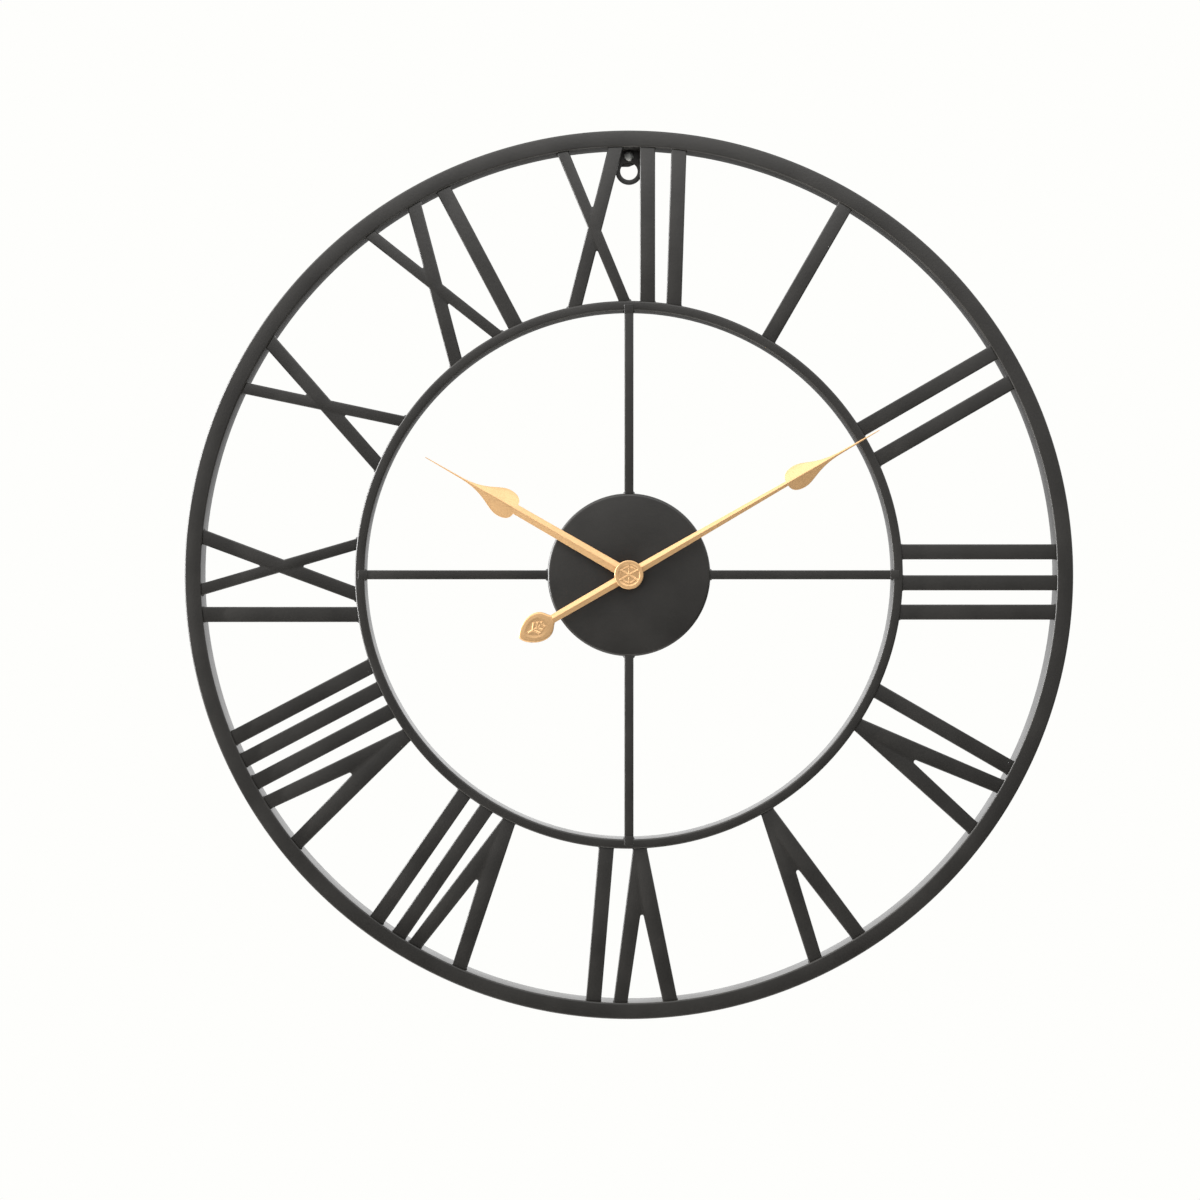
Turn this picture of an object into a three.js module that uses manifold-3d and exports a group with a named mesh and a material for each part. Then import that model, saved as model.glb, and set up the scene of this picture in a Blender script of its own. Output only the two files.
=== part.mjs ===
// Open-frame steel wall clock, 600 mm across, with Roman numerals, ridged gold hands and a quartz movement.
// Millimetres, +Z up. The clock faces -Y and hangs on the wall plane y = 0. The origin is the hang point,
// where the nail bears. "Depth" is the distance out from the wall, so y = -depth.
import * as THREE from "three";
import { mergeVertices } from "three/addons/utils/BufferGeometryUtils.js";
import Module from "manifold-3d";

const wasm = await Module();
wasm.setup();

// ---------- driving dimensions ----------
const GAP = 0.3;                    // space left between pieces that are welded, pressed or clamped together
const RUNNING_GAP = 0.3;            // radial clearance of the coaxial shafts and pipes

const OUTER_RADIUS = 300;           // outer ring, outside
const OUTER_FACE = 11;              // width of its front face
const OUTER_WALL = 1.5;             // sheet of its channel section
const RING_DEPTH = 22;              // both rings stand this far out from the wall
const INNER_RADIUS = 185;           // inner ring, outside
const INNER_FACE = 6.5;
const INNER_WALL = 1.2;
const RING_EDGE = 1.0;              // chamfer on the front edges of both rings

const SPOKE_WIDTH = 6.2;
const SPOKE_DEPTH = 6.2;

const PAN_RADIUS = 55;              // pressed pan behind the hands
const PAN_WALL = 1.2;
const PAN_PROUD = 1;                // its face stands this far in front of the rings
const PAN_REAR = 2;                 // its rim stays clear of the wall
const PAN_EDGE = 2;                 // radius round its face

const NUMERAL_THICKNESS = 3;
const NUMERAL_SETBACK = 1.5;        // numerals sit this far behind the ring faces
const I_WIDTH = 10.3;
const V_HEAD = 43.5;                // overall width of a V at its head
const V_FOOT = 9.2;
const V_LEFT = 10;                  // leg widths along the dial
const V_RIGHT = 9.5;
const V_NOTCH = 0.59;               // height of the notch's bottom, share of the way from head to foot
const X_HEAD = 36;                  // spread of the stroke centres at the head
const X_FOOT = 34;
const X_THIN = 8;
const X_THICK = 10;

const EYE_DROP = 14.1;              // eye centre, in from the outer ring's inner wall
const EYE_BORE = 5.6;
const EYE_END = 9.2;                // radius of the round end, and half the plate's width
const LIP_REACH = 3.3;              // the tab's end stands this far above the eye's centre
const TAB_WIDTH = 16;
const TAB_DEPTHS = [1.0, 2.5];
const HANGER_SHEET = 1.5;
const RIVET_DROP = 3.8;             // rivet, in from the outer ring's inner wall
const RIVET_HEAD = 3.3;
const RIVET_SHANK = 1.6;

const HAND_SHEET = 0.8;
const HAND_SLOPE = 0.36;            // fall of a hand's two flanks from its ridge
const HOUR_RIDGE_RISE = 6.4;        // the hour hand's ridge, in front of the pan
const MINUTE_RIDGE_RISE = 4.6;      // the minute hand's ridge, in front of the hour hand's
const HOUR_LENGTH = 158;
const MINUTE_LENGTH = 194;
const TAIL_LENGTH = 85;
const HAND_HUB = 7.5;
const HAND_COLLAR = 1.4;            // length of the collar under a hand, which grips its pipe
const HOUR_ANGLE = 300;             // the time shown, in degrees clockwise from 12
const MINUTE_ANGLE = 60;
const CAP_RADIUS = 9.75;
const CAP_THICKNESS = 2.3;

const CASE_SIZE = 56;               // quartz movement, square
const CASE_DEPTH = 16;
const CASE_WALL = 1.0;
const CASE_PLATE = 1.2;             // front plate and rear cover
const STEM_RADIUS = 3.9;            // threaded stem that the nut clamps
const STEM_LENGTH = 7.2;
const WASHER_RADIUS = 7;
const RUBBER_RADIUS = 12;
const RUBBER_THICKNESS = 1.9;
const BRASS_THICKNESS = 0.6;
const NUT_ACROSS_FLATS = 12;
const NUT_THICKNESS = 2.0;
const BATTERY_RADIUS = 7.25;        // one AA cell
const BATTERY_BODY = 49.2;
const BATTERY_NUB = 1.3;
const BATTERY_NUB_RADIUS = 2.75;
const BAY_FLOOR = 0.8;
const CONTACT_SHEET = 0.5;

const ARBOR = 0.5;                  // radius of the train arbors
const PIVOT_HOLE = 0.75;
const PIVOT_DEPTH = 0.8;
const MINUTE_ARBOR = 1.2;
const HOUR_PIPE = 2.4;
const WHEEL_THICKNESS = 0.6;
const MOTION_THICKNESS = 0.8;
const PINION_THICKNESS = 1.0;
const KNOB_RADIUS = 6.5;
const KNOB_THICKNESS = 2.1;
const KNOB_SHAFT = 1;
const KNOB_FLUTES = 16;
const FLUTE_DEPTH = 0.6;

// ---------- derived places ----------
const OUTER_BORE = OUTER_RADIUS - OUTER_FACE;
const INNER_BORE = INNER_RADIUS - INNER_FACE;
const EYE_RADIUS = OUTER_BORE - EYE_DROP;
const RIVET_RADIUS = OUTER_BORE - RIVET_DROP;
const HANG_RADIUS = EYE_RADIUS + LIP_REACH;
const PAN_FRONT = RING_DEPTH + PAN_PROUD;
const CASE_FRONT = PAN_FRONT - PAN_WALL - RUBBER_THICKNESS - 2 * GAP;
const CASE_REAR = CASE_FRONT - CASE_DEPTH;
const STEM_END = CASE_FRONT + STEM_LENGTH;
const HOUR_RIDGE = PAN_FRONT + HOUR_RIDGE_RISE;
const MINUTE_RIDGE = HOUR_RIDGE + MINUTE_RIDGE_RISE;
const KNOB_DEPTHS = [CASE_REAR - GAP - KNOB_THICKNESS, CASE_REAR - GAP];
const FULL_TURN = Math.PI * 2;
const FACET = Math.cos(Math.PI / 72);           // the rings' bores are drawn with flats
const turnsOf = (degrees) => THREE.MathUtils.degToRad(degrees);

// ---------- solids ----------
function toSolid(geometry) {
  const bare = geometry.clone();
  bare.deleteAttribute("normal");
  bare.deleteAttribute("uv");
  const merged = mergeVertices(bare);
  const mesh = new wasm.Mesh({
    numProp: 3,
    vertProperties: new Float32Array(merged.attributes.position.array),
    triVerts: new Uint32Array(merged.index.array),
  });
  return new wasm.Manifold(mesh);
}

function toGeometry(solid) {
  const mesh = solid.getMesh();
  const geometry = new THREE.BufferGeometry();
  geometry.setAttribute("position", new THREE.BufferAttribute(mesh.vertProperties, 3));
  geometry.setIndex(new THREE.BufferAttribute(mesh.triVerts, 1));
  geometry.computeVertexNormals();
  return geometry;
}

function combine(how, first, others) {
  let solid = toSolid(first);
  for (const other of others) {
    solid = solid[how](toSolid(other));
  }
  return toGeometry(solid);
}

const join = (first, ...others) => combine("add", first, others);
const cut = (first, ...tools) => combine("subtract", first, tools);
const overlapOf = (first, ...others) => combine("intersect", first, others);

// Turns a geometry's triangles round if they face inwards.
function facingOut(geometry) {
  const indexed = geometry.index ? geometry : mergeVertices(geometry);
  const position = indexed.attributes.position;
  const index = indexed.index.array;
  const corner = [new THREE.Vector3(), new THREE.Vector3(), new THREE.Vector3()];
  let volume = 0;
  for (let i = 0; i < index.length; i += 3) {
    corner.forEach((point, k) => point.fromBufferAttribute(position, index[i + k]));
    volume += corner[0].dot(corner[1].cross(corner[2]));
  }
  if (volume < 0) {
    for (let i = 0; i < index.length; i += 3) {
      [index[i], index[i + 1]] = [index[i + 1], index[i]];
    }
  }
  return indexed;
}

// A flat plate: an outline seen from the front, between two depths.
function plate(shape, rear, front, curveSegments = 12) {
  const settings = { depth: front - rear, bevelEnabled: false, curveSegments };
  const geometry = new THREE.ExtrudeGeometry(shape, settings);
  geometry.rotateX(Math.PI / 2);
  geometry.translate(0, -rear, 0);
  return geometry;
}

// A turned piece about the clock's axis: [radius, depth] points, closed on themselves unless both ends are
// on the axis.
function turned(profile, segments) {
  const points = profile.map(([radius, depth]) => new THREE.Vector2(radius, -depth));
  if (profile[0][0] > 0) {
    points.push(points[0].clone());
  }
  return facingOut(new THREE.LatheGeometry(points, segments));
}

const rod = (radius, rear, front, segments = 16) =>
  turned([[0, rear], [radius, rear], [radius, front], [0, front]], segments);

const tube = (inside, outside, rear, front, segments = 24) =>
  turned([[inside, rear], [outside, rear], [outside, front], [inside, front]], segments);

function block([x0, x1], [rear, front], [z0, z1]) {
  const geometry = new THREE.BoxGeometry(x1 - x0, front - rear, z1 - z0);
  geometry.translate((x0 + x1) / 2, -(rear + front) / 2, (z0 + z1) / 2);
  return geometry;
}

const outline = (points) => new THREE.Shape(points.map(([x, z]) => new THREE.Vector2(x, z)));

function moved(geometry, [x, z]) {
  return geometry.translate(x, 0, z);
}

// ---------- materials ----------
const finish = (color, roughness, metalness) =>
  new THREE.MeshStandardMaterial({ color, roughness, metalness });
const blackCoat = () => finish(0x37342f, 0.45, 0.3);
const goldPaint = () => finish(0xe2bf86, 0.38, 0.6);
const bareSteel = () => finish(0x8d8d88, 0.35, 1.0);
const brass = () => finish(0xc9a24b, 0.3, 1.0);
const blackPlastic = () => finish(0x1b1b1d, 0.5, 0.0);
const whiteNylon = () => finish(0xe7e4da, 0.5, 0.0);

// ---------- the clock, centred on its arbor and hung by its eye ----------
const clock = new THREE.Group();
const dial = new THREE.Group();
dial.position.z = -HANG_RADIUS;
clock.add(dial);

function add(name, geometry, material, parent = dial) {
  const mesh = new THREE.Mesh(geometry, material);
  mesh.name = name;
  parent.add(mesh);
  return mesh;
}

// A group turned clockwise from 12, as seen from the front.
function turnedTo(degrees) {
  const group = new THREE.Group();
  group.rotation.y = turnsOf(degrees);
  dial.add(group);
  return group;
}

// ---------- rings: folded channels, open at the back ----------
function ringChannel(outside, face, wall) {
  const inside = outside - face;
  return [
    [outside, 0], [outside, RING_DEPTH - RING_EDGE], [outside - RING_EDGE, RING_DEPTH],
    [inside + RING_EDGE, RING_DEPTH], [inside, RING_DEPTH - RING_EDGE], [inside, 0],
    [inside + wall, 0], [inside + wall, RING_DEPTH - wall], [outside - wall, RING_DEPTH - wall],
    [outside - wall, 0],
  ];
}

add("outer_ring", turned(ringChannel(OUTER_RADIUS, OUTER_FACE, OUTER_WALL), 96), blackCoat());
add("inner_ring", turned(ringChannel(INNER_RADIUS, INNER_FACE, INNER_WALL), 72), blackCoat());

// ---------- hub pan and spokes ----------
function panProfile() {
  const corner = [];
  const innerCorner = [];
  for (const angle of [90, 60, 30, 0]) {
    const [c, s] = [Math.cos(turnsOf(angle)), Math.sin(turnsOf(angle))];
    corner.push([PAN_RADIUS - PAN_EDGE + PAN_EDGE * c, PAN_FRONT - PAN_EDGE + PAN_EDGE * s]);
  }
  for (const angle of [0, 45, 90]) {
    const bend = Math.max(PAN_EDGE - PAN_WALL, 0.2);
    const [c, s] = [Math.cos(turnsOf(angle)), Math.sin(turnsOf(angle))];
    const [radius, depth] = [PAN_RADIUS - PAN_WALL - bend, PAN_FRONT - PAN_WALL - bend];
    innerCorner.push([radius + bend * c, depth + bend * s]);
  }
  const hole = STEM_RADIUS + GAP;
  return [
    [hole, PAN_FRONT], ...corner, [PAN_RADIUS, PAN_REAR], [PAN_RADIUS - PAN_WALL, PAN_REAR],
    ...innerCorner, [hole, PAN_FRONT - PAN_WALL],
  ];
}

add("hub_pan", turned(panProfile(), 60), blackCoat());

for (const hour of [12, 3, 6, 9]) {
  const half = SPOKE_WIDTH / 2;
  const reach = Math.sqrt((INNER_BORE - GAP) ** 2 - half ** 2) * FACET;
  const foot = PAN_RADIUS + GAP;
  const bar = block([-half, half], [RING_DEPTH - SPOKE_DEPTH, RING_DEPTH], [foot, reach]);
  add(`spoke_${hour}`, bar, blackCoat(), turnedTo(hour * 30));
}

// ---------- numerals ----------
// Each letter is [kind, foot, head]: where its middle meets the inner and the outer ring, in millimetres
// clockwise along the dial from its hour.
const NUMERALS = {
  1: [["i", 2, 2]],
  2: [["i", -6.8, -6.8], ["i", 16.3, 16.3]],
  3: [["i", -15.5, -15.5], ["i", 5.4, 5.4], ["i", 25.2, 25.2]],
  4: [["i", -15.9, -15.9], ["v", 10.3, 15.1]],
  5: [["v", -1, 4]],
  6: [["v", -7.4, -11.2], ["i", 15.2, 24]],
  7: [["v", -13, -16.8], ["i", 4.4, 12.9], ["i", 22.4, 31]],
  8: [["v", -18.6, -28.1], ["i", 0.5, 4.7], ["i", 17.5, 21.6], ["i", 33.7, 37.9]],
  9: [["i", -26.8, -26.8], ["x", 3.9, 7.9]],
  10: [["x", -3.5, -2.8]],
  11: [["x", -12.6, -18.6], ["i", 17.7, 21.6]],
  12: [["x", -19.7, -26.9], ["i", 12.6, 12.6], ["i", 30.4, 33.8]],
};
const NUMERAL_FOOT = INNER_RADIUS + GAP;
const NUMERAL_HEAD = OUTER_BORE * FACET - GAP;
const NUMERAL_DEPTHS = [
  RING_DEPTH - NUMERAL_SETBACK - NUMERAL_THICKNESS,
  RING_DEPTH - NUMERAL_SETBACK,
];

const onCircle = (along, radius) => [along, Math.sqrt(radius ** 2 - along ** 2)];

// One straight stroke from the inner ring to the outer, with its ends on the two circles.
function stroke(foot, head, width) {
  const half = width / 2;
  const footClear = Math.sqrt(NUMERAL_FOOT ** 2 + half ** 2);
  return plate(outline([
    onCircle(foot - half, footClear), onCircle(foot + half, footClear),
    onCircle(head + half, NUMERAL_HEAD), onCircle(head - half, NUMERAL_HEAD),
  ]), ...NUMERAL_DEPTHS);
}

function letterV(foot, head) {
  const left = head - V_HEAD / 2;
  const right = head + V_HEAD / 2;
  const footLeft = foot - V_FOOT / 2;
  const footRight = foot + V_FOOT / 2;
  const notchHeight = NUMERAL_HEAD + (NUMERAL_FOOT - NUMERAL_HEAD) * V_NOTCH;
  const notchLeft = THREE.MathUtils.lerp(left, footLeft, V_NOTCH) + V_LEFT;
  const notchRight = THREE.MathUtils.lerp(right, footRight, V_NOTCH) - V_RIGHT;
  const footClear = Math.sqrt(NUMERAL_FOOT ** 2 + (V_FOOT / 2) ** 2);
  return plate(outline([
    onCircle(footLeft, footClear), onCircle(footRight, footClear),
    onCircle(right, NUMERAL_HEAD), onCircle(right - V_RIGHT, NUMERAL_HEAD),
    [notchRight, notchHeight], [notchLeft, notchHeight],
    onCircle(left + V_LEFT, NUMERAL_HEAD), onCircle(left, NUMERAL_HEAD),
  ]), ...NUMERAL_DEPTHS);
}

const LETTERS = {
  i: (foot, head) => stroke(foot, head, I_WIDTH),
  v: letterV,
  x: (foot, head) => join(
    stroke(foot + X_FOOT / 2, head - X_HEAD / 2, X_THIN),
    stroke(foot - X_FOOT / 2, head + X_HEAD / 2, X_THICK),
  ),
};

for (const [hour, letters] of Object.entries(NUMERALS)) {
  const place = turnedTo(hour * 30);
  letters.forEach(([kind, foot, head], k) => {
    add(`numeral_${hour}_${kind}${k + 1}`, LETTERS[kind](foot, head), blackCoat(), place);
  });
}

// ---------- hanger: a tab welded inside the outer ring, with an eye plate riveted to it ----------
const HANGER_TOP = Math.sqrt((OUTER_BORE * FACET) ** 2 - EYE_END ** 2) - GAP;
const PLATE_DEPTHS = [TAB_DEPTHS[1] + GAP, TAB_DEPTHS[1] + GAP + HANGER_SHEET];
const rivetHole = () => moved(rod(RIVET_SHANK + GAP, 0, 8), [0, RIVET_RADIUS]);

const tab = block([-TAB_WIDTH / 2, TAB_WIDTH / 2], TAB_DEPTHS, [HANG_RADIUS, HANGER_TOP]);
add("hanger_tab", cut(tab, rivetHole()), blackCoat());

const eyePlate = new THREE.Shape();
eyePlate.moveTo(-EYE_END, HANGER_TOP);
eyePlate.lineTo(-EYE_END, EYE_RADIUS);
eyePlate.absarc(0, EYE_RADIUS, EYE_END, Math.PI, FULL_TURN, false);
eyePlate.lineTo(EYE_END, HANGER_TOP);
const eye = new THREE.Path();
eye.absarc(0, EYE_RADIUS, EYE_BORE, 0, FULL_TURN, true);
eyePlate.holes.push(eye);
add("hanger_plate", cut(plate(eyePlate, ...PLATE_DEPTHS, 14), rivetHole()), blackCoat());

const headBack = PLATE_DEPTHS[1] + GAP;
const rivet = turned([
  [0, 0], [RIVET_HEAD * 0.85, 0], [RIVET_HEAD * 0.85, TAB_DEPTHS[0] - GAP],
  [RIVET_SHANK, TAB_DEPTHS[0] - GAP], [RIVET_SHANK, headBack], [RIVET_HEAD, headBack],
  [RIVET_HEAD * 0.94, headBack + 0.8], [RIVET_HEAD * 0.6, headBack + 1.5], [0, headBack + 1.8],
], 20);
add("hanger_rivet", moved(rivet, [0, RIVET_RADIUS]), bareSteel());

// ---------- quartz movement ----------
const CASE_HALF = CASE_SIZE / 2;
const CASE_INSIDE = CASE_HALF - CASE_WALL;
const PLATE_INSIDE = CASE_FRONT - CASE_PLATE;      // depth of the front plate's inner face
const COVER_INSIDE = CASE_REAR + CASE_PLATE;
const COVER_HALF = CASE_INSIDE - GAP;
const BAY_TOP = -CASE_INSIDE + 2 * BATTERY_RADIUS + 0.5;
const TRAIN_BOTTOM = BAY_TOP + CASE_WALL;

// Wheel centres in the movement, from the clock's axis.
const from = ([x, z], distance, degrees) =>
  [x + distance * Math.cos(turnsOf(degrees)), z + distance * Math.sin(turnsOf(degrees))];

const CANNON = { teeth: 12, module: 0.4 };
const MOTION = { teeth: 36, module: 0.4 };
const MOTION_PINION = { teeth: 10, module: 0.384 };
const HOUR_WHEEL = { teeth: 40, module: 0.384 };
const KNOB_PINION = { teeth: 12, module: 0.4 };
const CENTRE = { teeth: 64, module: 0.26 };
const THIRD_PINION = { teeth: 8, module: 0.26 };
const THIRD = { teeth: 40, module: 0.35 };
const SECOND_PINION = { teeth: 8, module: 0.35 };
const SECOND = { teeth: 60, module: 0.25 };
const FIRST_PINION = { teeth: 8, module: 0.25 };
const FIRST = { teeth: 48, module: 0.25 };
const ROTOR_PINION = { teeth: 8, module: 0.25 };

// Directions from each wheel to the next, in degrees.
const TO_MOTION = 160;
const TO_KNOB = 70;
const TO_THIRD = 0;
const TO_SECOND = 75;
const TO_FIRST = 150;
const TO_ROTOR = 75;

const spacing = (a, b) => a.module * (a.teeth + b.teeth) / 2;
const AXIS = [0, 0];
const MOTION_AT = from(AXIS, spacing(CANNON, MOTION), TO_MOTION);
const KNOB_AT = from(MOTION_AT, spacing(MOTION, KNOB_PINION), TO_KNOB);
const THIRD_AT = from(AXIS, spacing(CENTRE, THIRD_PINION), TO_THIRD);
const SECOND_AT = from(THIRD_AT, spacing(THIRD, SECOND_PINION), TO_SECOND);
const FIRST_AT = from(SECOND_AT, spacing(SECOND, FIRST_PINION), TO_FIRST);
const ROTOR_AT = from(FIRST_AT, spacing(FIRST, ROTOR_PINION), TO_ROTOR);
const PIVOTED = [MOTION_AT, THIRD_AT, SECOND_AT, FIRST_AT, ROTOR_AT];

// The tooth angle that puts a gear in mesh with another whose own tooth angle is known.
function meshPhase(gear, driver, driverPhase, direction) {
  const angle = turnsOf(direction);
  return angle + Math.PI - (Math.PI - driver.teeth * (angle - driverPhase)) / gear.teeth;
}

const ADDENDUM = 0.5;               // V-shaped teeth, in modules from the pitch circle
const DEDENDUM = 0.9;

function gearWheel({ teeth, module }, phase, rear, front) {
  const points = [];
  for (let tooth = 0; tooth < teeth; tooth += 1) {
    for (const [step, height] of [[0, ADDENDUM], [0.5, -DEDENDUM]]) {
      const angle = phase + (tooth + step) / teeth * FULL_TURN;
      const radius = module * (teeth / 2 + height);
      points.push([radius * Math.cos(angle), radius * Math.sin(angle)]);
    }
  }
  return plate(outline(points), rear, front);
}

// Depths of the wheel layers, front to back.
const HOUR_LAYER = [PLATE_INSIDE - 1.5, PLATE_INSIDE - 0.7];
const behind = ([rear], step, thickness) => [rear - step, rear - step + thickness];
const MOTION_LAYER = behind(HOUR_LAYER, 1.4, MOTION_THICKNESS);
const CENTRE_LAYER = behind(MOTION_LAYER, 1.6, WHEEL_THICKNESS);
const THIRD_LAYER = behind(CENTRE_LAYER, 2.2, WHEEL_THICKNESS);
const SECOND_LAYER = behind(THIRD_LAYER, 2, WHEEL_THICKNESS);
const FIRST_LAYER = behind(SECOND_LAYER, 2, WHEEL_THICKNESS);
const pinionLayer = ([rear, front]) => [
  (rear + front - PINION_THICKNESS) / 2,
  (rear + front + PINION_THICKNESS) / 2,
];

const ARBOR_ENDS = [COVER_INSIDE - PIVOT_DEPTH + 0.2, PLATE_INSIDE + PIVOT_DEPTH - 0.2];
const arbor = () => rod(ARBOR, ...ARBOR_ENDS, 10);

// Case: front plate with the threaded stem, and a battery bay that is open at the back.
const stem = rod(STEM_RADIUS, PLATE_INSIDE, STEM_END, 32);
const bore = rod(HOUR_PIPE + RUNNING_GAP, CASE_REAR, STEM_END + 1, 28);
const across = [-CASE_INSIDE, CASE_INSIDE];
const trainSpace = block(across, [CASE_REAR - 1, PLATE_INSIDE], [TRAIN_BOTTOM, CASE_INSIDE]);
const bay = block(across, [CASE_REAR - 1, CASE_FRONT - BAY_FLOOR], [-CASE_INSIDE, BAY_TOP]);
const frontPivot = (at) => moved(rod(PIVOT_HOLE, PLATE_INSIDE - 1, PLATE_INSIDE + PIVOT_DEPTH, 10), at);
const rearPivot = (at) => moved(rod(PIVOT_HOLE, COVER_INSIDE - PIVOT_DEPTH, COVER_INSIDE + 1, 10), at);
const shell = join(block([-CASE_HALF, CASE_HALF], [CASE_REAR, CASE_FRONT], [-CASE_HALF, CASE_HALF]), stem);
add("movement_case", cut(
  shell, trainSpace, bay, bore,
  ...PIVOTED.map(frontPivot),
  moved(rod(KNOB_SHAFT + RUNNING_GAP, PLATE_INSIDE - 1, PLATE_INSIDE + PIVOT_DEPTH), KNOB_AT),
), blackPlastic());

add("movement_cover", cut(
  block([-COVER_HALF, COVER_HALF], [CASE_REAR, COVER_INSIDE], [TRAIN_BOTTOM + GAP, COVER_HALF]),
  moved(rod(KNOB_SHAFT + RUNNING_GAP, CASE_REAR - 1, COVER_INSIDE + 1), KNOB_AT),
  moved(rod(MINUTE_ARBOR + RUNNING_GAP, COVER_INSIDE - PIVOT_DEPTH, COVER_INSIDE + 1), AXIS),
  ...PIVOTED.map(rearPivot),
), blackPlastic());

// Battery and its two contacts, lying along X.
const batteryAxis = [CASE_FRONT - BAY_FLOOR - GAP - BATTERY_RADIUS, -CASE_INSIDE + BATTERY_RADIUS + 0.25];
function alongX(profile, segments) {
  const points = profile.map(([radius, x]) => new THREE.Vector2(radius, x));
  const geometry = facingOut(new THREE.LatheGeometry(points, segments));
  geometry.rotateZ(-Math.PI / 2);
  return geometry.translate(0, -batteryAxis[0], batteryAxis[1]);
}
const nubEnd = COVER_HALF - CONTACT_SHEET - GAP;
const bodyEnd = nubEnd - BATTERY_NUB;
const bodyStart = bodyEnd - BATTERY_BODY;
add("battery", alongX([
  [0, bodyStart], [BATTERY_RADIUS, bodyStart], [BATTERY_RADIUS, bodyEnd],
  [BATTERY_NUB_RADIUS, bodyEnd], [BATTERY_NUB_RADIUS, nubEnd], [0, nubEnd],
], 32), finish(0x6f7478, 0.35, 0.4));
const CONTACT_HALF = 5;             // half the height of a contact, and the radius of the spring's foot
const contactHeight = [batteryAxis[1] - CONTACT_HALF, batteryAxis[1] + CONTACT_HALF];
const contactDepth = [CASE_REAR + 2, CASE_FRONT - BAY_FLOOR - GAP];
add("battery_plus_contact", block([COVER_HALF - CONTACT_SHEET, COVER_HALF], contactDepth, contactHeight),
  bareSteel());
const springFoot = -COVER_HALF;
add("battery_spring_contact", join(
  block([springFoot, springFoot + CONTACT_SHEET], contactDepth, contactHeight),
  alongX([[0, springFoot], [CONTACT_HALF, springFoot], [3.2, bodyStart - GAP], [0, bodyStart - GAP]], 20),
), bareSteel());

// Motion work: cannon pinion -> motion wheel -> hour wheel, set by the knob.
const MINUTE_END = MINUTE_RIDGE + GAP + 1;
const MINUTE_HUB = [MINUTE_RIDGE - HAND_SHEET - HAND_COLLAR, MINUTE_RIDGE - HAND_SHEET];
const HOUR_HUB = [HOUR_RIDGE - HAND_SHEET - HAND_COLLAR, HOUR_RIDGE - HAND_SHEET];
add("cannon_pinion", join(
  rod(MINUTE_ARBOR, ARBOR_ENDS[0], MINUTE_END, 20),
  gearWheel(CANNON, 0, ...pinionLayer(MOTION_LAYER)),
  rod(2.4, CENTRE_LAYER[0] - GAP - 0.4, CENTRE_LAYER[0] - GAP, 20),
), brass());

const motionPhase = meshPhase(MOTION, CANNON, 0, TO_MOTION);
const hourPhase = meshPhase(HOUR_WHEEL, MOTION_PINION, 0, TO_MOTION + 180);
add("motion_wheel", moved(join(
  gearWheel(MOTION, motionPhase, ...MOTION_LAYER),
  gearWheel(MOTION_PINION, 0, MOTION_LAYER[1], pinionLayer(HOUR_LAYER)[1]),
  arbor(),
), MOTION_AT), whiteNylon());

add("hour_wheel", cut(
  join(gearWheel(HOUR_WHEEL, hourPhase, ...HOUR_LAYER), rod(HOUR_PIPE, HOUR_LAYER[0], HOUR_HUB[1] + GAP, 28)),
  rod(MINUTE_ARBOR + RUNNING_GAP, HOUR_LAYER[0] - 1, HOUR_HUB[1] + 1, 24),
), whiteNylon());

const knobPhase = meshPhase(KNOB_PINION, MOTION, motionPhase, TO_KNOB);
const gripped = new THREE.Shape();
for (let flute = 0; flute < KNOB_FLUTES; flute += 1) {
  for (const [step, radius] of [[0, KNOB_RADIUS], [0.5, KNOB_RADIUS - FLUTE_DEPTH]]) {
    const angle = (flute + step) / KNOB_FLUTES * FULL_TURN;
    const point = [radius * Math.cos(angle), radius * Math.sin(angle)];
    if (flute + step === 0) {
      gripped.moveTo(...point);
    } else {
      gripped.lineTo(...point);
    }
  }
}
add("set_knob", moved(join(
  plate(gripped, ...KNOB_DEPTHS),
  rod(KNOB_SHAFT, KNOB_DEPTHS[0] + 0.5, ARBOR_ENDS[1]),
  gearWheel(KNOB_PINION, knobPhase, ...pinionLayer(MOTION_LAYER)),
), KNOB_AT), whiteNylon());

// Going train: rotor -> two reduction wheels -> third wheel -> centre wheel, slipping on the cannon pinion.
const thirdPhase = meshPhase(THIRD_PINION, CENTRE, 0, TO_THIRD);
const secondPhase = meshPhase(SECOND_PINION, THIRD, 0, TO_SECOND);
const firstPhase = meshPhase(FIRST_PINION, SECOND, 0, TO_FIRST);
const rotorPhase = meshPhase(ROTOR_PINION, FIRST, 0, TO_ROTOR);

add("centre_wheel", cut(
  gearWheel(CENTRE, 0, ...CENTRE_LAYER),
  rod(MINUTE_ARBOR + RUNNING_GAP, CENTRE_LAYER[0] - 1, CENTRE_LAYER[1] + 1, 24),
), brass());

function trainWheel(name, wheel, layer, pinion, pinionPhase, pinionAt, at) {
  add(name, moved(join(
    gearWheel(wheel, 0, ...layer),
    gearWheel(pinion, pinionPhase, Math.min(layer[1], pinionAt[0]), pinionAt[1]),
    arbor(),
  ), at), whiteNylon());
}

trainWheel("third_wheel", THIRD, THIRD_LAYER, THIRD_PINION, thirdPhase, pinionLayer(CENTRE_LAYER), THIRD_AT);
trainWheel("reduction_wheel_2", SECOND, SECOND_LAYER, SECOND_PINION, secondPhase, pinionLayer(THIRD_LAYER),
  SECOND_AT);
trainWheel("reduction_wheel_1", FIRST, FIRST_LAYER, FIRST_PINION, firstPhase, pinionLayer(SECOND_LAYER),
  FIRST_AT);

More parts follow.
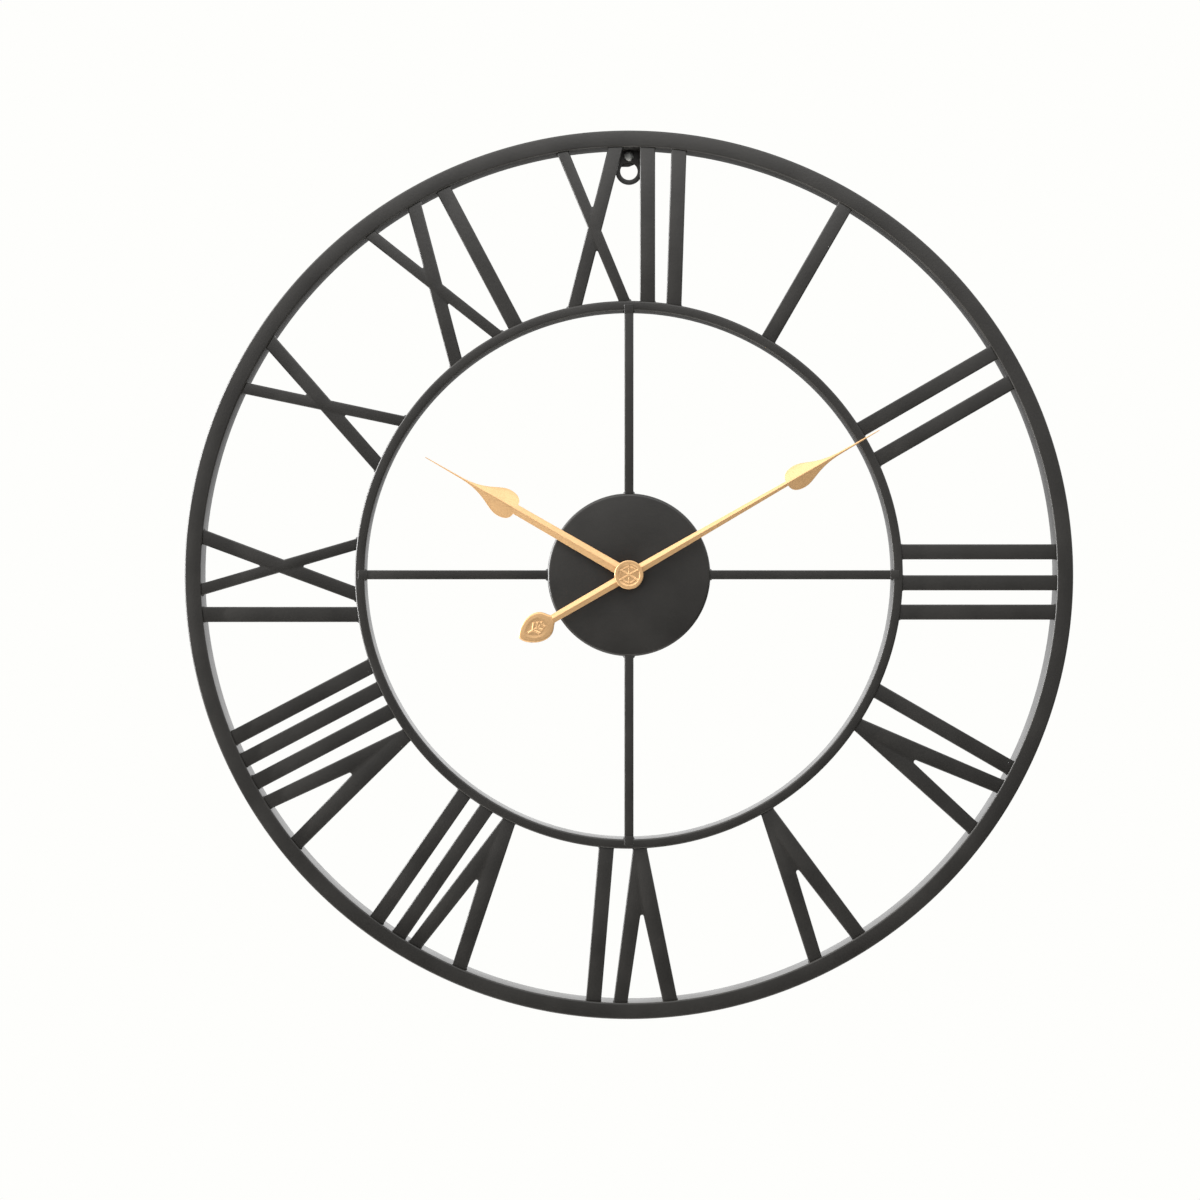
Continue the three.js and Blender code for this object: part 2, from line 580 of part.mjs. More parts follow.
// Stepping motor: rotor with its magnet, laminated stator, coil on its core, circuit board with its crystal.
const STATOR_LAYER = [THIRD_LAYER[0], THIRD_LAYER[0] + 1];
const MAGNET_RADIUS = 2.6;
const MAGNET_PROUD = 1;             // the magnet stands past both faces of the stator
add("rotor", moved(join(
  gearWheel(ROTOR_PINION, rotorPhase, ...pinionLayer(FIRST_LAYER)),
  rod(MAGNET_RADIUS, STATOR_LAYER[0] - MAGNET_PROUD, STATOR_LAYER[1] + MAGNET_PROUD, 20),
  arbor(),
), ROTOR_AT), finish(0x3a3a3c, 0.4, 0.8));

const [rotorX, rotorZ] = ROTOR_AT;
const STATOR_GAP = 0.5;             // round the magnet
const WALL_SPACE = 1;               // the stator and the board stay this far from the case wall
const POLE_TOP = 5.8;               // edges of the stator, from the rotor's centre
const POLE_BOTTOM = -4.2;
const POLE_RIGHT = 4.8;
const ARM_LEFT = -11.4;
const ARM_BOTTOM = 1.8;
const WAIST_LEFT = -4.4;
const WAIST_TOP = -1.2;
const LIMB_TOP = 4.9;
const LIMB_WIDTH = 2.6;
const statorLeft = WALL_SPACE - CASE_INSIDE;
const limbRight = statorLeft + LIMB_WIDTH;
const stator = outline([
  [statorLeft, rotorZ + POLE_BOTTOM], [rotorX + POLE_RIGHT, rotorZ + POLE_BOTTOM],
  [rotorX + POLE_RIGHT, rotorZ + POLE_TOP], [rotorX + ARM_LEFT, rotorZ + POLE_TOP],
  [rotorX + ARM_LEFT, rotorZ + ARM_BOTTOM], [rotorX + WAIST_LEFT, rotorZ + ARM_BOTTOM],
  [rotorX + WAIST_LEFT, rotorZ + WAIST_TOP], [limbRight, rotorZ + WAIST_TOP],
  [limbRight, rotorZ + LIMB_TOP], [statorLeft, rotorZ + LIMB_TOP],
]);
const rotorHole = new THREE.Path();
rotorHole.absarc(rotorX, rotorZ, MAGNET_RADIUS + STATOR_GAP, 0, FULL_TURN, true);
stator.holes.push(rotorHole);
add("stator", plate(stator, ...STATOR_LAYER, 8), bareSteel());

const COIL_RADIUS = 2.9;
const COIL_RISE = 3.2;              // the coil's axis, above the rotor's centre
const COIL_END = 4;                 // the winding stops this far short of the stator's arm
const COIL_START = 1;               // and starts this far past its limb
const CORE_THICKNESS = 0.8;
const CORE_HALF = 1;
const CORE_LAP = 3.4;               // the core lies on the arm over this length
const coilZ = rotorZ + COIL_RISE;
const coilSpan = [limbRight + COIL_START, rotorX + ARM_LEFT - COIL_END];
const coreDepths = [STATOR_LAYER[1] + GAP, STATOR_LAYER[1] + GAP + CORE_THICKNESS];
const coilLength = coilSpan[1] - coilSpan[0];
const winding = facingOut(new THREE.CylinderGeometry(COIL_RADIUS, COIL_RADIUS, coilLength, 20));
winding.rotateZ(Math.PI / 2);
winding.translate((coilSpan[0] + coilSpan[1]) / 2, -(STATOR_LAYER[0] + STATOR_LAYER[1]) / 2, coilZ);
add("coil", join(
  winding,
  block([statorLeft + GAP, rotorX + ARM_LEFT + CORE_LAP], coreDepths, [coilZ - CORE_HALF, coilZ + CORE_HALF]),
), finish(0xa9582a, 0.4, 0.6));

const BOARD_LIFT = 0.7;             // off the cover
const BOARD_THICKNESS = 1;
const CRYSTAL_RADIUS = 1;
const CRYSTAL_LENGTH = 6;
const boardRight = MOTION_AT[0] - 5;
const boardDepths = [COVER_INSIDE + BOARD_LIFT, COVER_INSIDE + BOARD_LIFT + BOARD_THICKNESS];
add("circuit_board", block([statorLeft, boardRight], boardDepths, [TRAIN_BOTTOM + 2, rotorZ - 6]),
  finish(0x1f5a34, 0.5, 0.0));
const crystal = facingOut(new THREE.CylinderGeometry(CRYSTAL_RADIUS, CRYSTAL_RADIUS, CRYSTAL_LENGTH, 14));
crystal.rotateX(Math.PI / 2);
crystal.translate(boardRight - 4, -(boardDepths[1] + GAP + CRYSTAL_RADIUS), TRAIN_BOTTOM + 8);
add("quartz_crystal", crystal, bareSteel());

// Washers and nut that clamp the movement to the pan.
const stemHole = STEM_RADIUS + GAP;
const rubberRear = CASE_FRONT + GAP;
add("rubber_washer", tube(stemHole, RUBBER_RADIUS, rubberRear, rubberRear + RUBBER_THICKNESS, 32),
  finish(0x111111, 0.8, 0.0));
const brassRear = PAN_FRONT + GAP;
add("brass_washer", tube(stemHole, WASHER_RADIUS, brassRear, brassRear + BRASS_THICKNESS), brass());
const nutRear = brassRear + BRASS_THICKNESS + GAP;
const nut = rod(NUT_ACROSS_FLATS / Math.sqrt(3), nutRear, nutRear + NUT_THICKNESS, 6);
add("mounting_nut", cut(nut, rod(stemHole, nutRear - 1, nutRear + NUT_THICKNESS + 1, 24)), brass());

// ---------- hands: bent sheet with a ridge, a spade near the tip and a needle point ----------
const mirrored = (rightSide) => [
  ...rightSide,
  ...rightSide.filter(([x]) => x > 0).reverse().map(([x, z]) => [-x, z]),
];

// A spade: round shoulders from the shaft out to the widest place, then a hollow taper to the needle.
function spade(shaftHalf, start, widest, widestHalf, needleStart, needleHalf) {
  const side = new THREE.Path();
  const shoulder = widest - start;
  side.moveTo(shaftHalf, start);
  side.bezierCurveTo(
    shaftHalf + 1.2, start + shoulder * 0.1,
    widestHalf, start + shoulder * 0.35,
    widestHalf, widest,
  );
  side.bezierCurveTo(
    widestHalf, widest + (needleStart - widest) * 0.27,
    needleHalf * 2, widest + (needleStart - widest) * 0.4,
    needleHalf, needleStart,
  );
  return side.getPoints(7).map((point) => [point.x, point.y]);
}

// The folded sheet that a hand is cut from: a chevron section running along the hand.
function ridgedSheet(ridge, from, to) {
  const reach = 15;
  const edge = ridge - reach * HAND_SLOPE;
  const section = outline([
    [-reach, -edge], [0, -ridge], [reach, -edge],
    [reach, HAND_SHEET - edge], [0, HAND_SHEET - ridge], [-reach, HAND_SHEET - edge],
  ]);
  const sheet = new THREE.ExtrudeGeometry(section, { depth: to - from, bevelEnabled: false });
  return sheet.translate(0, 0, from);
}

const HAND_POINT = 0.25;            // half-widths at the tip and at the hub
const HOUR_ROOT = 3.9;
const MINUTE_ROOT = 3.2;
const hourOutline = outline(mirrored([
  [HOUR_ROOT, 0],
  ...spade(3.4, HOUR_LENGTH - 70, HOUR_LENGTH - 61, 9.7, HOUR_LENGTH - 28, 0.6),
  [HAND_POINT, HOUR_LENGTH],
]));
const hourBlade = overlapOf(plate(hourOutline, 15, 40), ridgedSheet(HOUR_RIDGE, 0, HOUR_LENGTH + 1));
add("hour_hand", cut(
  join(hourBlade, rod(HAND_HUB, ...HOUR_HUB, 32)),
  rod(HOUR_PIPE + GAP, 15, 40, 28),
), goldPaint(), turnedTo(HOUR_ANGLE));

const TEAR_WIDEST = 70;             // counterweight, from the clock's axis
const TEAR_HALF = 9.8;
const TEAR_NECK = 59;
const TEAR_NECK_HALF = 2.8;
const WEIGHT_DEPTHS = [MINUTE_RIDGE - 2.6, MINUTE_RIDGE - 0.2];
const TAIL_LAP = 2;                 // the shaft runs this far into the counterweight
const minuteOutline = outline(mirrored([
  [MINUTE_ROOT, -TEAR_NECK - TAIL_LAP], [MINUTE_ROOT, 0],
  ...spade(1.8, MINUTE_LENGTH - 72, MINUTE_LENGTH - 61.5, 8.2, MINUTE_LENGTH - 26, 0.8),
  [HAND_POINT, MINUTE_LENGTH],
]));
const tear = new THREE.Shape();
tear.moveTo(0, -TAIL_LENGTH);
tear.bezierCurveTo(3, -TAIL_LENGTH + 0.6, TEAR_HALF, -TEAR_WIDEST - 6, TEAR_HALF, -TEAR_WIDEST);
tear.bezierCurveTo(TEAR_HALF, -TEAR_NECK - 3, 3.6, -TEAR_NECK - 2, TEAR_NECK_HALF, -TEAR_NECK);
tear.lineTo(-TEAR_NECK_HALF, -TEAR_NECK);
tear.bezierCurveTo(-3.6, -TEAR_NECK - 2, -TEAR_HALF, -TEAR_NECK - 3, -TEAR_HALF, -TEAR_WIDEST);
tear.bezierCurveTo(-TEAR_HALF, -TEAR_WIDEST - 6, -3, -TAIL_LENGTH + 0.6, 0, -TAIL_LENGTH);
const weight = plate(tear, ...WEIGHT_DEPTHS, 7);
const minuteBlade = overlapOf(
  plate(minuteOutline, 20, 45),
  ridgedSheet(MINUTE_RIDGE, -TEAR_NECK - TAIL_LAP, MINUTE_LENGTH + 1),
);
add("minute_hand", cut(
  join(minuteBlade, weight, rod(HAND_HUB, ...MINUTE_HUB, 32)),
  rod(MINUTE_ARBOR + GAP, 20, 45, 20),
), goldPaint(), turnedTo(MINUTE_ANGLE));

const capRear = MINUTE_RIDGE + GAP;
const capFront = capRear + CAP_THICKNESS;
add("hand_cap", turned([
  [0, MINUTE_END + GAP], [MINUTE_ARBOR + GAP, MINUTE_END + GAP], [MINUTE_ARBOR + GAP, capRear],
  [CAP_RADIUS - 0.5, capRear], [CAP_RADIUS, capRear + 0.6], [CAP_RADIUS, capFront - 0.7],
  [CAP_RADIUS - 0.7, capFront - 0.2], [CAP_RADIUS - 1.8, capFront - 0.2], [CAP_RADIUS - 2.2, capFront - 0.7],
  [2.4, capFront - 0.7], [1.6, capFront], [0, capFront],
], 40), goldPaint(), turnedTo(MINUTE_ANGLE));

export default clock;
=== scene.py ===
"""Open-frame steel wall clock: Roman numerals between folded rings, ridged gold hands, quartz movement."""
import math
import bmesh
import bpy
from mathutils import Matrix, Vector


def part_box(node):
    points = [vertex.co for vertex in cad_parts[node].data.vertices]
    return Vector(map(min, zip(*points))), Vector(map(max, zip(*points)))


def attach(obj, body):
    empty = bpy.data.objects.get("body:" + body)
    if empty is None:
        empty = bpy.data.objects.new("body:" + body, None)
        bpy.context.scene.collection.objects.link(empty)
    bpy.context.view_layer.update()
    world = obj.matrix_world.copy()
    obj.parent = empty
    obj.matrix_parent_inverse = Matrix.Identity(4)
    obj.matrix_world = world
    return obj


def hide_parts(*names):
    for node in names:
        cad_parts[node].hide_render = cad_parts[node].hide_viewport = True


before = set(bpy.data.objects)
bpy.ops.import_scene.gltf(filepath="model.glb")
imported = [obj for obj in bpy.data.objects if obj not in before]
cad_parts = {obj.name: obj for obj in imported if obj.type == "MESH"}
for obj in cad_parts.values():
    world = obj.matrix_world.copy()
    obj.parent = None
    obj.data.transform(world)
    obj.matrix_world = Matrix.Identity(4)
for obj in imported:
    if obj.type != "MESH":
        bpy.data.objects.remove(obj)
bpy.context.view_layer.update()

MM = 0.001
MERGED = 1e-7                       # corners closer than this are one corner

# ---------- places, from the frame ----------
ring_low, ring_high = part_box("outer_ring")
inner_low, inner_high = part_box("inner_ring")
pan_low, pan_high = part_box("hub_pan")
letter_low, letter_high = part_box("numeral_1_i1")
spoke_low, spoke_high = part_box("spoke_12")
tab_low, tab_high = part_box("hanger_tab")
eye_low, eye_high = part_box("hanger_plate")
rivet_low, rivet_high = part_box("hanger_rivet")
hour_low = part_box("hour_hand")[0]
cap_low, cap_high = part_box("hand_cap")
AXIS_Z = (ring_low.z + ring_high.z) / 2
OUTER_RADIUS = (ring_high.x - ring_low.x) / 2
INNER_RADIUS = (inner_high.x - inner_low.x) / 2
PAN_RADIUS = (pan_high.x - pan_low.x) / 2
RING_DEPTH = -ring_low.y
PAN_FRONT = -pan_low.y
PAN_REAR = -pan_high.y
LETTER_DEPTHS = (-letter_high.y, -letter_low.y)

# ---------- sizes of the folded and welded frame ----------
OUTER_FACE = 11 * MM
OUTER_WALL = 1.5 * MM
INNER_FACE = 6.5 * MM
INNER_WALL = 1.2 * MM
RING_BEND = 1.2 * MM                # outside radius of the folded edges
CUT_EDGE = 0.25 * MM                # a sheared edge, softened by its coat
PAN_WALL = 1.2 * MM
PAN_BEND = 2 * MM
WELD_BITE = 0.5 * MM                # how far a welded end runs into the wall that it meets
LETTER_EDGE = 1.0 * MM
SPOKE_EDGE = 0.8 * MM
OUTER_BORE = OUTER_RADIUS - OUTER_FACE
INNER_BORE = INNER_RADIUS - INNER_FACE


def on_dial(along, out, depth, turn=0.0):
    """A point of the clock: clockwise along the dial, out from the axis and off the wall, turned from 12."""
    c, s = math.cos(turn), math.sin(turn)
    return Vector((along * c + out * s, -depth, AXIS_Z - along * s + out * c))


def turn_of(hour):
    """The clockwise turn of an hour from 12."""
    return math.radians(30 * hour)


# ---------- making meshes and pieces -------
def linear(hex_colour):
    """An sRGB hex colour as linear RGBA."""
    shares = [int(hex_colour[i:i + 2], 16) / 255 for i in (1, 3, 5)]
    return [v / 12.92 if v <= 0.04045 else ((v + 0.055) / 1.055) ** 2.4 for v in shares] + [1.0]


def add_node(tree, kind, inputs=None, **settings):
    """Adds one node to a tree; each input is a value, or another node's output to link from."""
    made = tree.nodes.new(kind)
    for name, value in settings.items():
        setattr(made, name, value)
    for socket, value in (inputs or {}).items():
        if isinstance(value, bpy.types.NodeSocket):
            tree.links.new(value, made.inputs[socket])
        else:
            made.inputs[socket].default_value = value
    return made


def written(shape, mesh):
    """Writes a shape into a mesh, with its doubles merged and its faces outwards."""
    bmesh.ops.remove_doubles(shape, verts=shape.verts, dist=MERGED)
    bmesh.ops.recalc_face_normals(shape, faces=shape.faces)
    shape.to_mesh(mesh)
    shape.free()
    return mesh


def mesh_of(points, faces):
    """A mesh of points and faces."""
    shape = bmesh.new()
    corners = [shape.verts.new(point) for point in points]
    for face in faces:
        shape.faces.new([corners[i] for i in face])
    return written(shape, bpy.data.meshes.new("shape"))


def skin(first, loops, count):
    """The faces between loops of points that follow each other from a first point."""
    faces = []
    for row in range(loops - 1):
        a = first + row * count
        for i in range(count):
            j = (i + 1) % count
            faces.append((a + i, a + j, a + count + j, a + count + i))
    return faces


def joined(*meshes):
    """Several meshes as one."""
    mesh = bpy.data.meshes.new("shape")
    shape = bmesh.new()
    for part in meshes:
        shape.from_mesh(part)
        bpy.data.meshes.remove(part)
    shape.to_mesh(mesh)
    shape.free()
    return mesh


def hand_in(name, mesh, material, nodes, body="frame", smooth_degrees=38):
    """Makes a piece of a finished mesh: its body, its finish and the CAD nodes that it stands for."""
    mesh.name = name
    mesh.materials.clear()
    mesh.materials.append(material)
    mesh.shade_smooth()
    mesh.set_sharp_from_angle(angle=math.radians(smooth_degrees))
    piece = bpy.data.objects.new(name, mesh)
    bpy.context.scene.collection.objects.link(piece)
    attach(piece, body)
    if nodes:
        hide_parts(*nodes)


# ---------- outlines and plates ----------
LONGEST_ARC = 0.48                  # an arc takes at most this share of the side it starts from
SHARPEST_LEAN = 0.5                 # an inset corner runs at most 1 / this times the distance


def rounded(corners, steps=6):
    """A closed outline from (along, out, radius) corners; a corner with a radius becomes an arc."""
    points = []
    count = len(corners)
    for i, (x, y, radius) in enumerate(corners):
        here = Vector((x, y))
        if radius <= 0:
            points.append(here)
            continue
        before = Vector(corners[i - 1][:2]) - here
        after = Vector(corners[(i + 1) % count][:2]) - here
        half = before.angle(after) / 2
        reach = min(radius / math.tan(half), before.length * LONGEST_ARC, after.length * LONGEST_ARC)
        before.normalize()
        after.normalize()
        centre = here + (before + after).normalized() * reach / math.cos(half)
        start, end = here + before * reach - centre, here + after * reach - centre
        sweep = math.atan2(start.cross(end), start.dot(end))
        for k in range(steps + 1):
            c, s = math.cos(sweep * k / steps), math.sin(sweep * k / steps)
            points.append(centre + Vector((start.x * c - start.y * s, start.x * s + start.y * c)))
    return points


def circle(radius, count, centre=(0, 0)):
    """A circle as an outline."""
    turns = [math.tau * k / count for k in range(count)]
    return [Vector((centre[0] + radius * math.cos(t), centre[1] + radius * math.sin(t))) for t in turns]


def inset(outline, distance):
    """An outline moved inwards by a distance, or outwards if it is negative."""
    count = len(outline)
    side = 1 if sum(outline[i - 1].cross(outline[i]) for i in range(count)) > 0 else -1
    moved = []
    for i, point in enumerate(outline):
        before = (point - outline[i - 1]).normalized()
        after = (outline[(i + 1) % count] - point).normalized()
        across = Vector((-before.y - after.y, before.x + after.x)) * side
        across.normalize()
        lean = max(across.dot(Vector((-before.y, before.x)) * side), SHARPEST_LEAN)
        moved.append(point + across * distance / lean)
    return moved


def plate(outline, depths, edge, turn=0.0, hole=None, steps=4, place=on_dial):
    """A plate cut to an outline, with rounded edges; a hole has as many points as the outline."""
    rear, front = depths
    rows = []
    for k in range(steps + 1):
        angle = math.pi / 2 * k / steps
        rows.append((rear + edge * (1 - math.sin(angle)), edge * (1 - math.cos(angle))))
    rows = rows[::-1] + [(front - (depth - rear), step) for depth, step in rows]
    count = len(outline)
    points, faces = [], []
    for loop, way in ((outline, 1), (hole, -1)):
        if loop is None:
            continue
        first = len(points)
        for depth, step in rows:
            points += [place(p.x, p.y, depth, turn) for p in inset(loop, step * way)]
        faces += skin(first, len(rows), count)
    last = (len(rows) - 1) * count
    if hole is None:
        faces += [range(count), range(last, last + count)]
    else:
        across = len(rows) * count
        for i in range(count):
            j = (i + 1) % count
            faces.append((i, j, across + j, across + i))
            faces.append((last + i, last + j, across + last + j, across + last + i))
    return mesh_of(points, faces)


def spun(rows, segments, place, radius_at=None):
    """A solid turned from (radius, height) rows; radius_at, if given, cuts the radius at an angle."""
    points, faces = [], skin(0, len(rows), segments)
    for radius, height in rows:
        for k in range(segments):
            angle = math.tau * k / segments
            r = min(radius, radius_at(angle)) if radius_at else radius
            points.append(place(r * math.cos(angle), r * math.sin(angle), height))
    if rows[0] != rows[-1]:
        faces += [range(segments), range(len(points) - segments, len(points))]
    return mesh_of(points, faces)


def relief(outline, centre, rings, rear, surface, turn):
    """A solid inside an outline; its front follows surface(point, share of the way to the rim)."""
    count = len(outline)
    points = [on_dial(centre.x, centre.y, surface(centre, 0.0), turn)]
    for ring in range(1, rings + 1):
        share = ring / rings
        for rim in outline:
            point = centre.lerp(rim, share)
            points.append(on_dial(point.x, point.y, surface(point, share), turn))
    points += [on_dial(rim.x, rim.y, rear, turn) for rim in outline]
    faces = [(0, 1 + i, 1 + (i + 1) % count) for i in range(count)]
    faces += skin(1, rings + 1, count)
    faces.append(range(len(points) - count, len(points)))
    return mesh_of(points, faces)


# ---------- geometry node trees ----------
def new_tree(name, sockets):
    """A geometry node tree with its named inputs."""
    tree = bpy.data.node_groups.new(name, "GeometryNodeTree")
    tree.interface.new_socket("Geometry", in_out="OUTPUT", socket_type="NodeSocketGeometry")
    for socket, kind in sockets.items():
        tree.interface.new_socket(socket, in_out="INPUT", socket_type="NodeSocket" + kind)
    return tree, add_node(tree, "NodeGroupInput").outputs


def end_tree(tree, geometry, material):
    """Ends a tree as plain geometry with its material."""
    whole = add_node(tree, "GeometryNodeRealizeInstances", {"Geometry": geometry})
    coated = add_node(tree, "GeometryNodeSetMaterial", {"Geometry": whole.outputs[0], "Material": material})
    add_node(tree, "NodeGroupOutput", {"Geometry": coated.outputs[0]})
    return tree


def rolled_section_tree():
    """Rounds the bends of a sheet's cut section and carries it round a circle."""
    tree, given = new_tree("rolled_section", {
        "Section": "Geometry", "Radius": "Float", "Steps": "Int", "Finish": "Material"})
    bend = add_node(tree, "GeometryNodeInputNamedAttribute", {"Name": "bend"}, data_type="FLOAT")
    section = add_node(tree, "GeometryNodeMeshToCurve", {"Mesh": given["Section"]})
    bent = add_node(tree, "GeometryNodeFilletCurve", {
        "Curve": section.outputs[0], "Radius": bend.outputs[0], "Count": 5, "Limit Radius": True},
        mode="POLY")
    path = add_node(tree, "GeometryNodeCurvePrimitiveCircle", {
        "Resolution": given["Steps"], "Radius": given["Radius"]})
    upright = add_node(tree, "GeometryNodeSetCurveNormal", {"Curve": path.outputs[0]}, mode="Z_UP")
    swept = add_node(tree, "GeometryNodeCurveToMesh", {
        "Curve": upright.outputs[0], "Profile Curve": bent.outputs[0]})
    return end_tree(tree, swept.outputs[0], given["Finish"])


def weld_bead_tree():
    """Lays overlapping ripples of weld metal along seams; each differs a little, from a fixed seed."""
    tree, given = new_tree("weld_bead", {
        "Seams": "Geometry", "Pitch": "Float", "Width": "Float", "Seed": "Int", "Finish": "Material"})
    seam = add_node(tree, "GeometryNodeMeshToCurve", {"Mesh": given["Seams"]})
    spots = add_node(tree, "GeometryNodeCurveToPoints", {
        "Curve": seam.outputs[0], "Length": given["Pitch"]}, mode="LENGTH")
    drop = add_node(tree, "GeometryNodeMeshUVSphere", {"Segments": 8, "Rings": 5, "Radius": 0.5})
    vary = add_node(tree, "FunctionNodeRandomValue", {
        "Min": (0.85, 0.85, 0.9), "Max": (1.1, 1.15, 1.1), "Seed": given["Seed"]}, data_type="FLOAT_VECTOR")
    size = add_node(tree, "ShaderNodeVectorMath", {
        0: vary.outputs[0], "Scale": given["Width"]}, operation="SCALE")
    laid = add_node(tree, "GeometryNodeInstanceOnPoints", {
        "Points": spots.outputs["Points"], "Instance": drop.outputs["Mesh"],
        "Rotation": spots.outputs["Rotation"], "Scale": size.outputs[0]})
    return end_tree(tree, laid.outputs[0], given["Finish"])


def coiled_wire_tree():
    """Winds a tapering coil of round wire."""
    tree, given = new_tree("coiled_wire", {
        "Base": "Geometry", "Turns": "Float", "Start": "Float", "End": "Float", "Height": "Float",
        "Wire": "Float", "Finish": "Material"})
    helix = add_node(tree, "GeometryNodeCurveSpiral", {
        "Resolution": 28, "Rotations": given["Turns"], "Start Radius": given["Start"],
        "End Radius": given["End"], "Height": given["Height"]})
    wire = add_node(tree, "GeometryNodeCurvePrimitiveCircle", {"Resolution": 10, "Radius": given["Wire"]})
    wound = add_node(tree, "GeometryNodeCurveToMesh", {
        "Curve": helix.outputs[0], "Profile Curve": wire.outputs[0], "Fill Caps": True})
    return end_tree(tree, wound.outputs[0], given["Finish"])


def grown(tree, start, **sizes):
    """The plain mesh that a tree makes of a starting mesh."""
    holder = bpy.data.objects.new("holder", start)
    bpy.context.scene.collection.objects.link(holder)
    modifier = holder.modifiers.new(tree.name, "NODES")
    modifier.node_group = tree
    for socket in tree.interface.items_tree:
        if socket.in_out == "INPUT" and socket.name in sizes:
            modifier[socket.identifier] = sizes[socket.name]
    bpy.context.view_layer.update()
    made = holder.evaluated_get(bpy.context.evaluated_depsgraph_get())
    mesh = bpy.data.meshes.new_from_object(made)
    holder.modifiers.remove(modifier)
    bpy.data.objects.remove(holder)
    bpy.data.meshes.remove(start)
    return mesh


def tidied(mesh, place=None):
    """Puts a grown mesh in its place, merges its doubles and turns its faces outwards."""
    if place:
        mesh.transform(place)
    shape = bmesh.new()
    shape.from_mesh(mesh)
    return written(shape, mesh)


ROLLED_SECTION = rolled_section_tree()
WELD_BEAD = weld_bead_tree()
COILED_WIRE = coiled_wire_tree()
TO_THE_FRONT = Matrix.Rotation(-math.pi / 2, 4, "X")


def rolled(section, steps, material):
    """A ring about the clock's axis, from the (radius, depth, bend) corners of its section."""
    middle = (min(r for r, _, _ in section) + max(r for r, _, _ in section)) / 2
    count = len(section)
    start = bpy.data.meshes.new("section")
    sides = [(i, (i + 1) % count) for i in range(count)]
    start.from_pydata([(r - middle, d, 0) for r, d, _ in section], sides, [])
    bends = [bend for _, _, bend in section]
    start.attributes.new("bend", "FLOAT", "POINT").data.foreach_set("value", bends)
    mesh = grown(ROLLED_SECTION, start, Radius=middle, Steps=steps, Finish=material)
    return tidied(mesh, Matrix.Translation((0, 0, AXIS_Z)) @ TO_THE_FRONT)


def washer_section(hole, radius, depths, edge):
    """The section of a flat ring with its edges eased."""
    rear, front = depths
    return [(hole, rear, edge), (radius, rear, edge), (radius, front, edge), (hole, front, edge)]


# ---------- materials ----------
def new_material(name):
    """An empty material with its shader and the place that its patterns read."""
    material = bpy.data.materials.new(name)
    material.use_nodes = True
    tree = material.node_tree
    place = add_node(tree, "ShaderNodeTexCoord").outputs["Object"]
    return material, tree, tree.nodes["Principled BSDF"], place


# Most of a noise pattern's values lie between these two.
NOISE_SPAN = (0.3, 0.7)


def finish(tree, shader, tone, tones, gloss, roughness, bumps, height, span=(0.35, 0.65), **own):
    """Finishes a surface: two tones over a pattern, gloss drifting over another, a low relief of a third."""
    colour = add_node(tree, "ShaderNodeValToRGB", {"Fac": tone})
    for stop, position, hex_colour in zip(colour.color_ramp.elements, span, tones):
        stop.position, stop.color = position, linear(hex_colour)
    dulled = add_node(tree, "ShaderNodeMapRange", {
        "Value": gloss, "From Min": NOISE_SPAN[0], "From Max": NOISE_SPAN[1],
        "To Min": roughness[0], "To Max": roughness[1]})
    raised = add_node(tree, "ShaderNodeBump", {"Height": bumps, "Distance": height})
    tree.links.new(colour.outputs["Color"], shader.inputs["Base Color"])
    tree.links.new(dulled.outputs["Result"], shader.inputs["Roughness"])
    tree.links.new(raised.outputs["Normal"], shader.inputs["Normal"])
    for name, value in own.items():
        shader.inputs[name.replace("_", " ")].default_value = value


def powder_coated_steel():
    """Black polyester powder baked on mild steel: a satin sheen, broken by a shallow orange peel."""
    material, tree, shader, place = new_material("powder_coated_steel")
    # Real peel is about 1 mm across; it is drawn at 2 mm so that it shows.
    peel = add_node(tree, "ShaderNodeTexNoise", {"Vector": place, "Scale": 1 / (2 * MM), "Detail": 2.0})
    flow = add_node(tree, "ShaderNodeTexNoise", {"Vector": place, "Scale": 1 / (30 * MM), "Detail": 4.0})
    finish(tree, shader, flow.outputs["Fac"], ("#1d1b18", "#252320"), flow.outputs["Fac"], (0.38, 0.46),
           peel.outputs["Fac"], 0.06 * MM, IOR=1.5)
    return material


def lacquered_gold_aluminium():
    """Pale gold metallic lacquer on pressed aluminium: a warm satin with the fine grain of its flake."""
    material, tree, shader, place = new_material("lacquered_gold_aluminium")
    # Flake is a few hundredths of a millimetre; its clumps are drawn at 0.8 mm so that they show.
    flake = add_node(tree, "ShaderNodeTexNoise", {"Vector": place, "Scale": 1 / (0.8 * MM), "Detail": 3.0})
    flow = add_node(tree, "ShaderNodeTexNoise", {"Vector": place, "Scale": 1 / (12 * MM), "Detail": 2.0})
    finish(tree, shader, flake.outputs["Fac"], ("#d4a876", "#dab17f"), flow.outputs["Fac"], (0.36, 0.44),
           flake.outputs["Fac"], 0.003 * MM, Metallic=0.5)
    return material


def zinc_plated_steel():
    """Bright zinc on cold-headed steel: blue-grey, with the soft mottle of the plating bath."""
    material, tree, shader, place = new_material("zinc_plated_steel")
    mottle = add_node(tree, "ShaderNodeTexNoise", {"Vector": place, "Scale": 1 / (1.5 * MM), "Detail": 4.0})
    finish(tree, shader, mottle.outputs["Fac"], ("#babcb9", "#cfd0cd"), mottle.outputs["Fac"], (0.48, 0.6),
           mottle.outputs["Fac"], 0.03 * MM, Metallic=1.0)
    return material


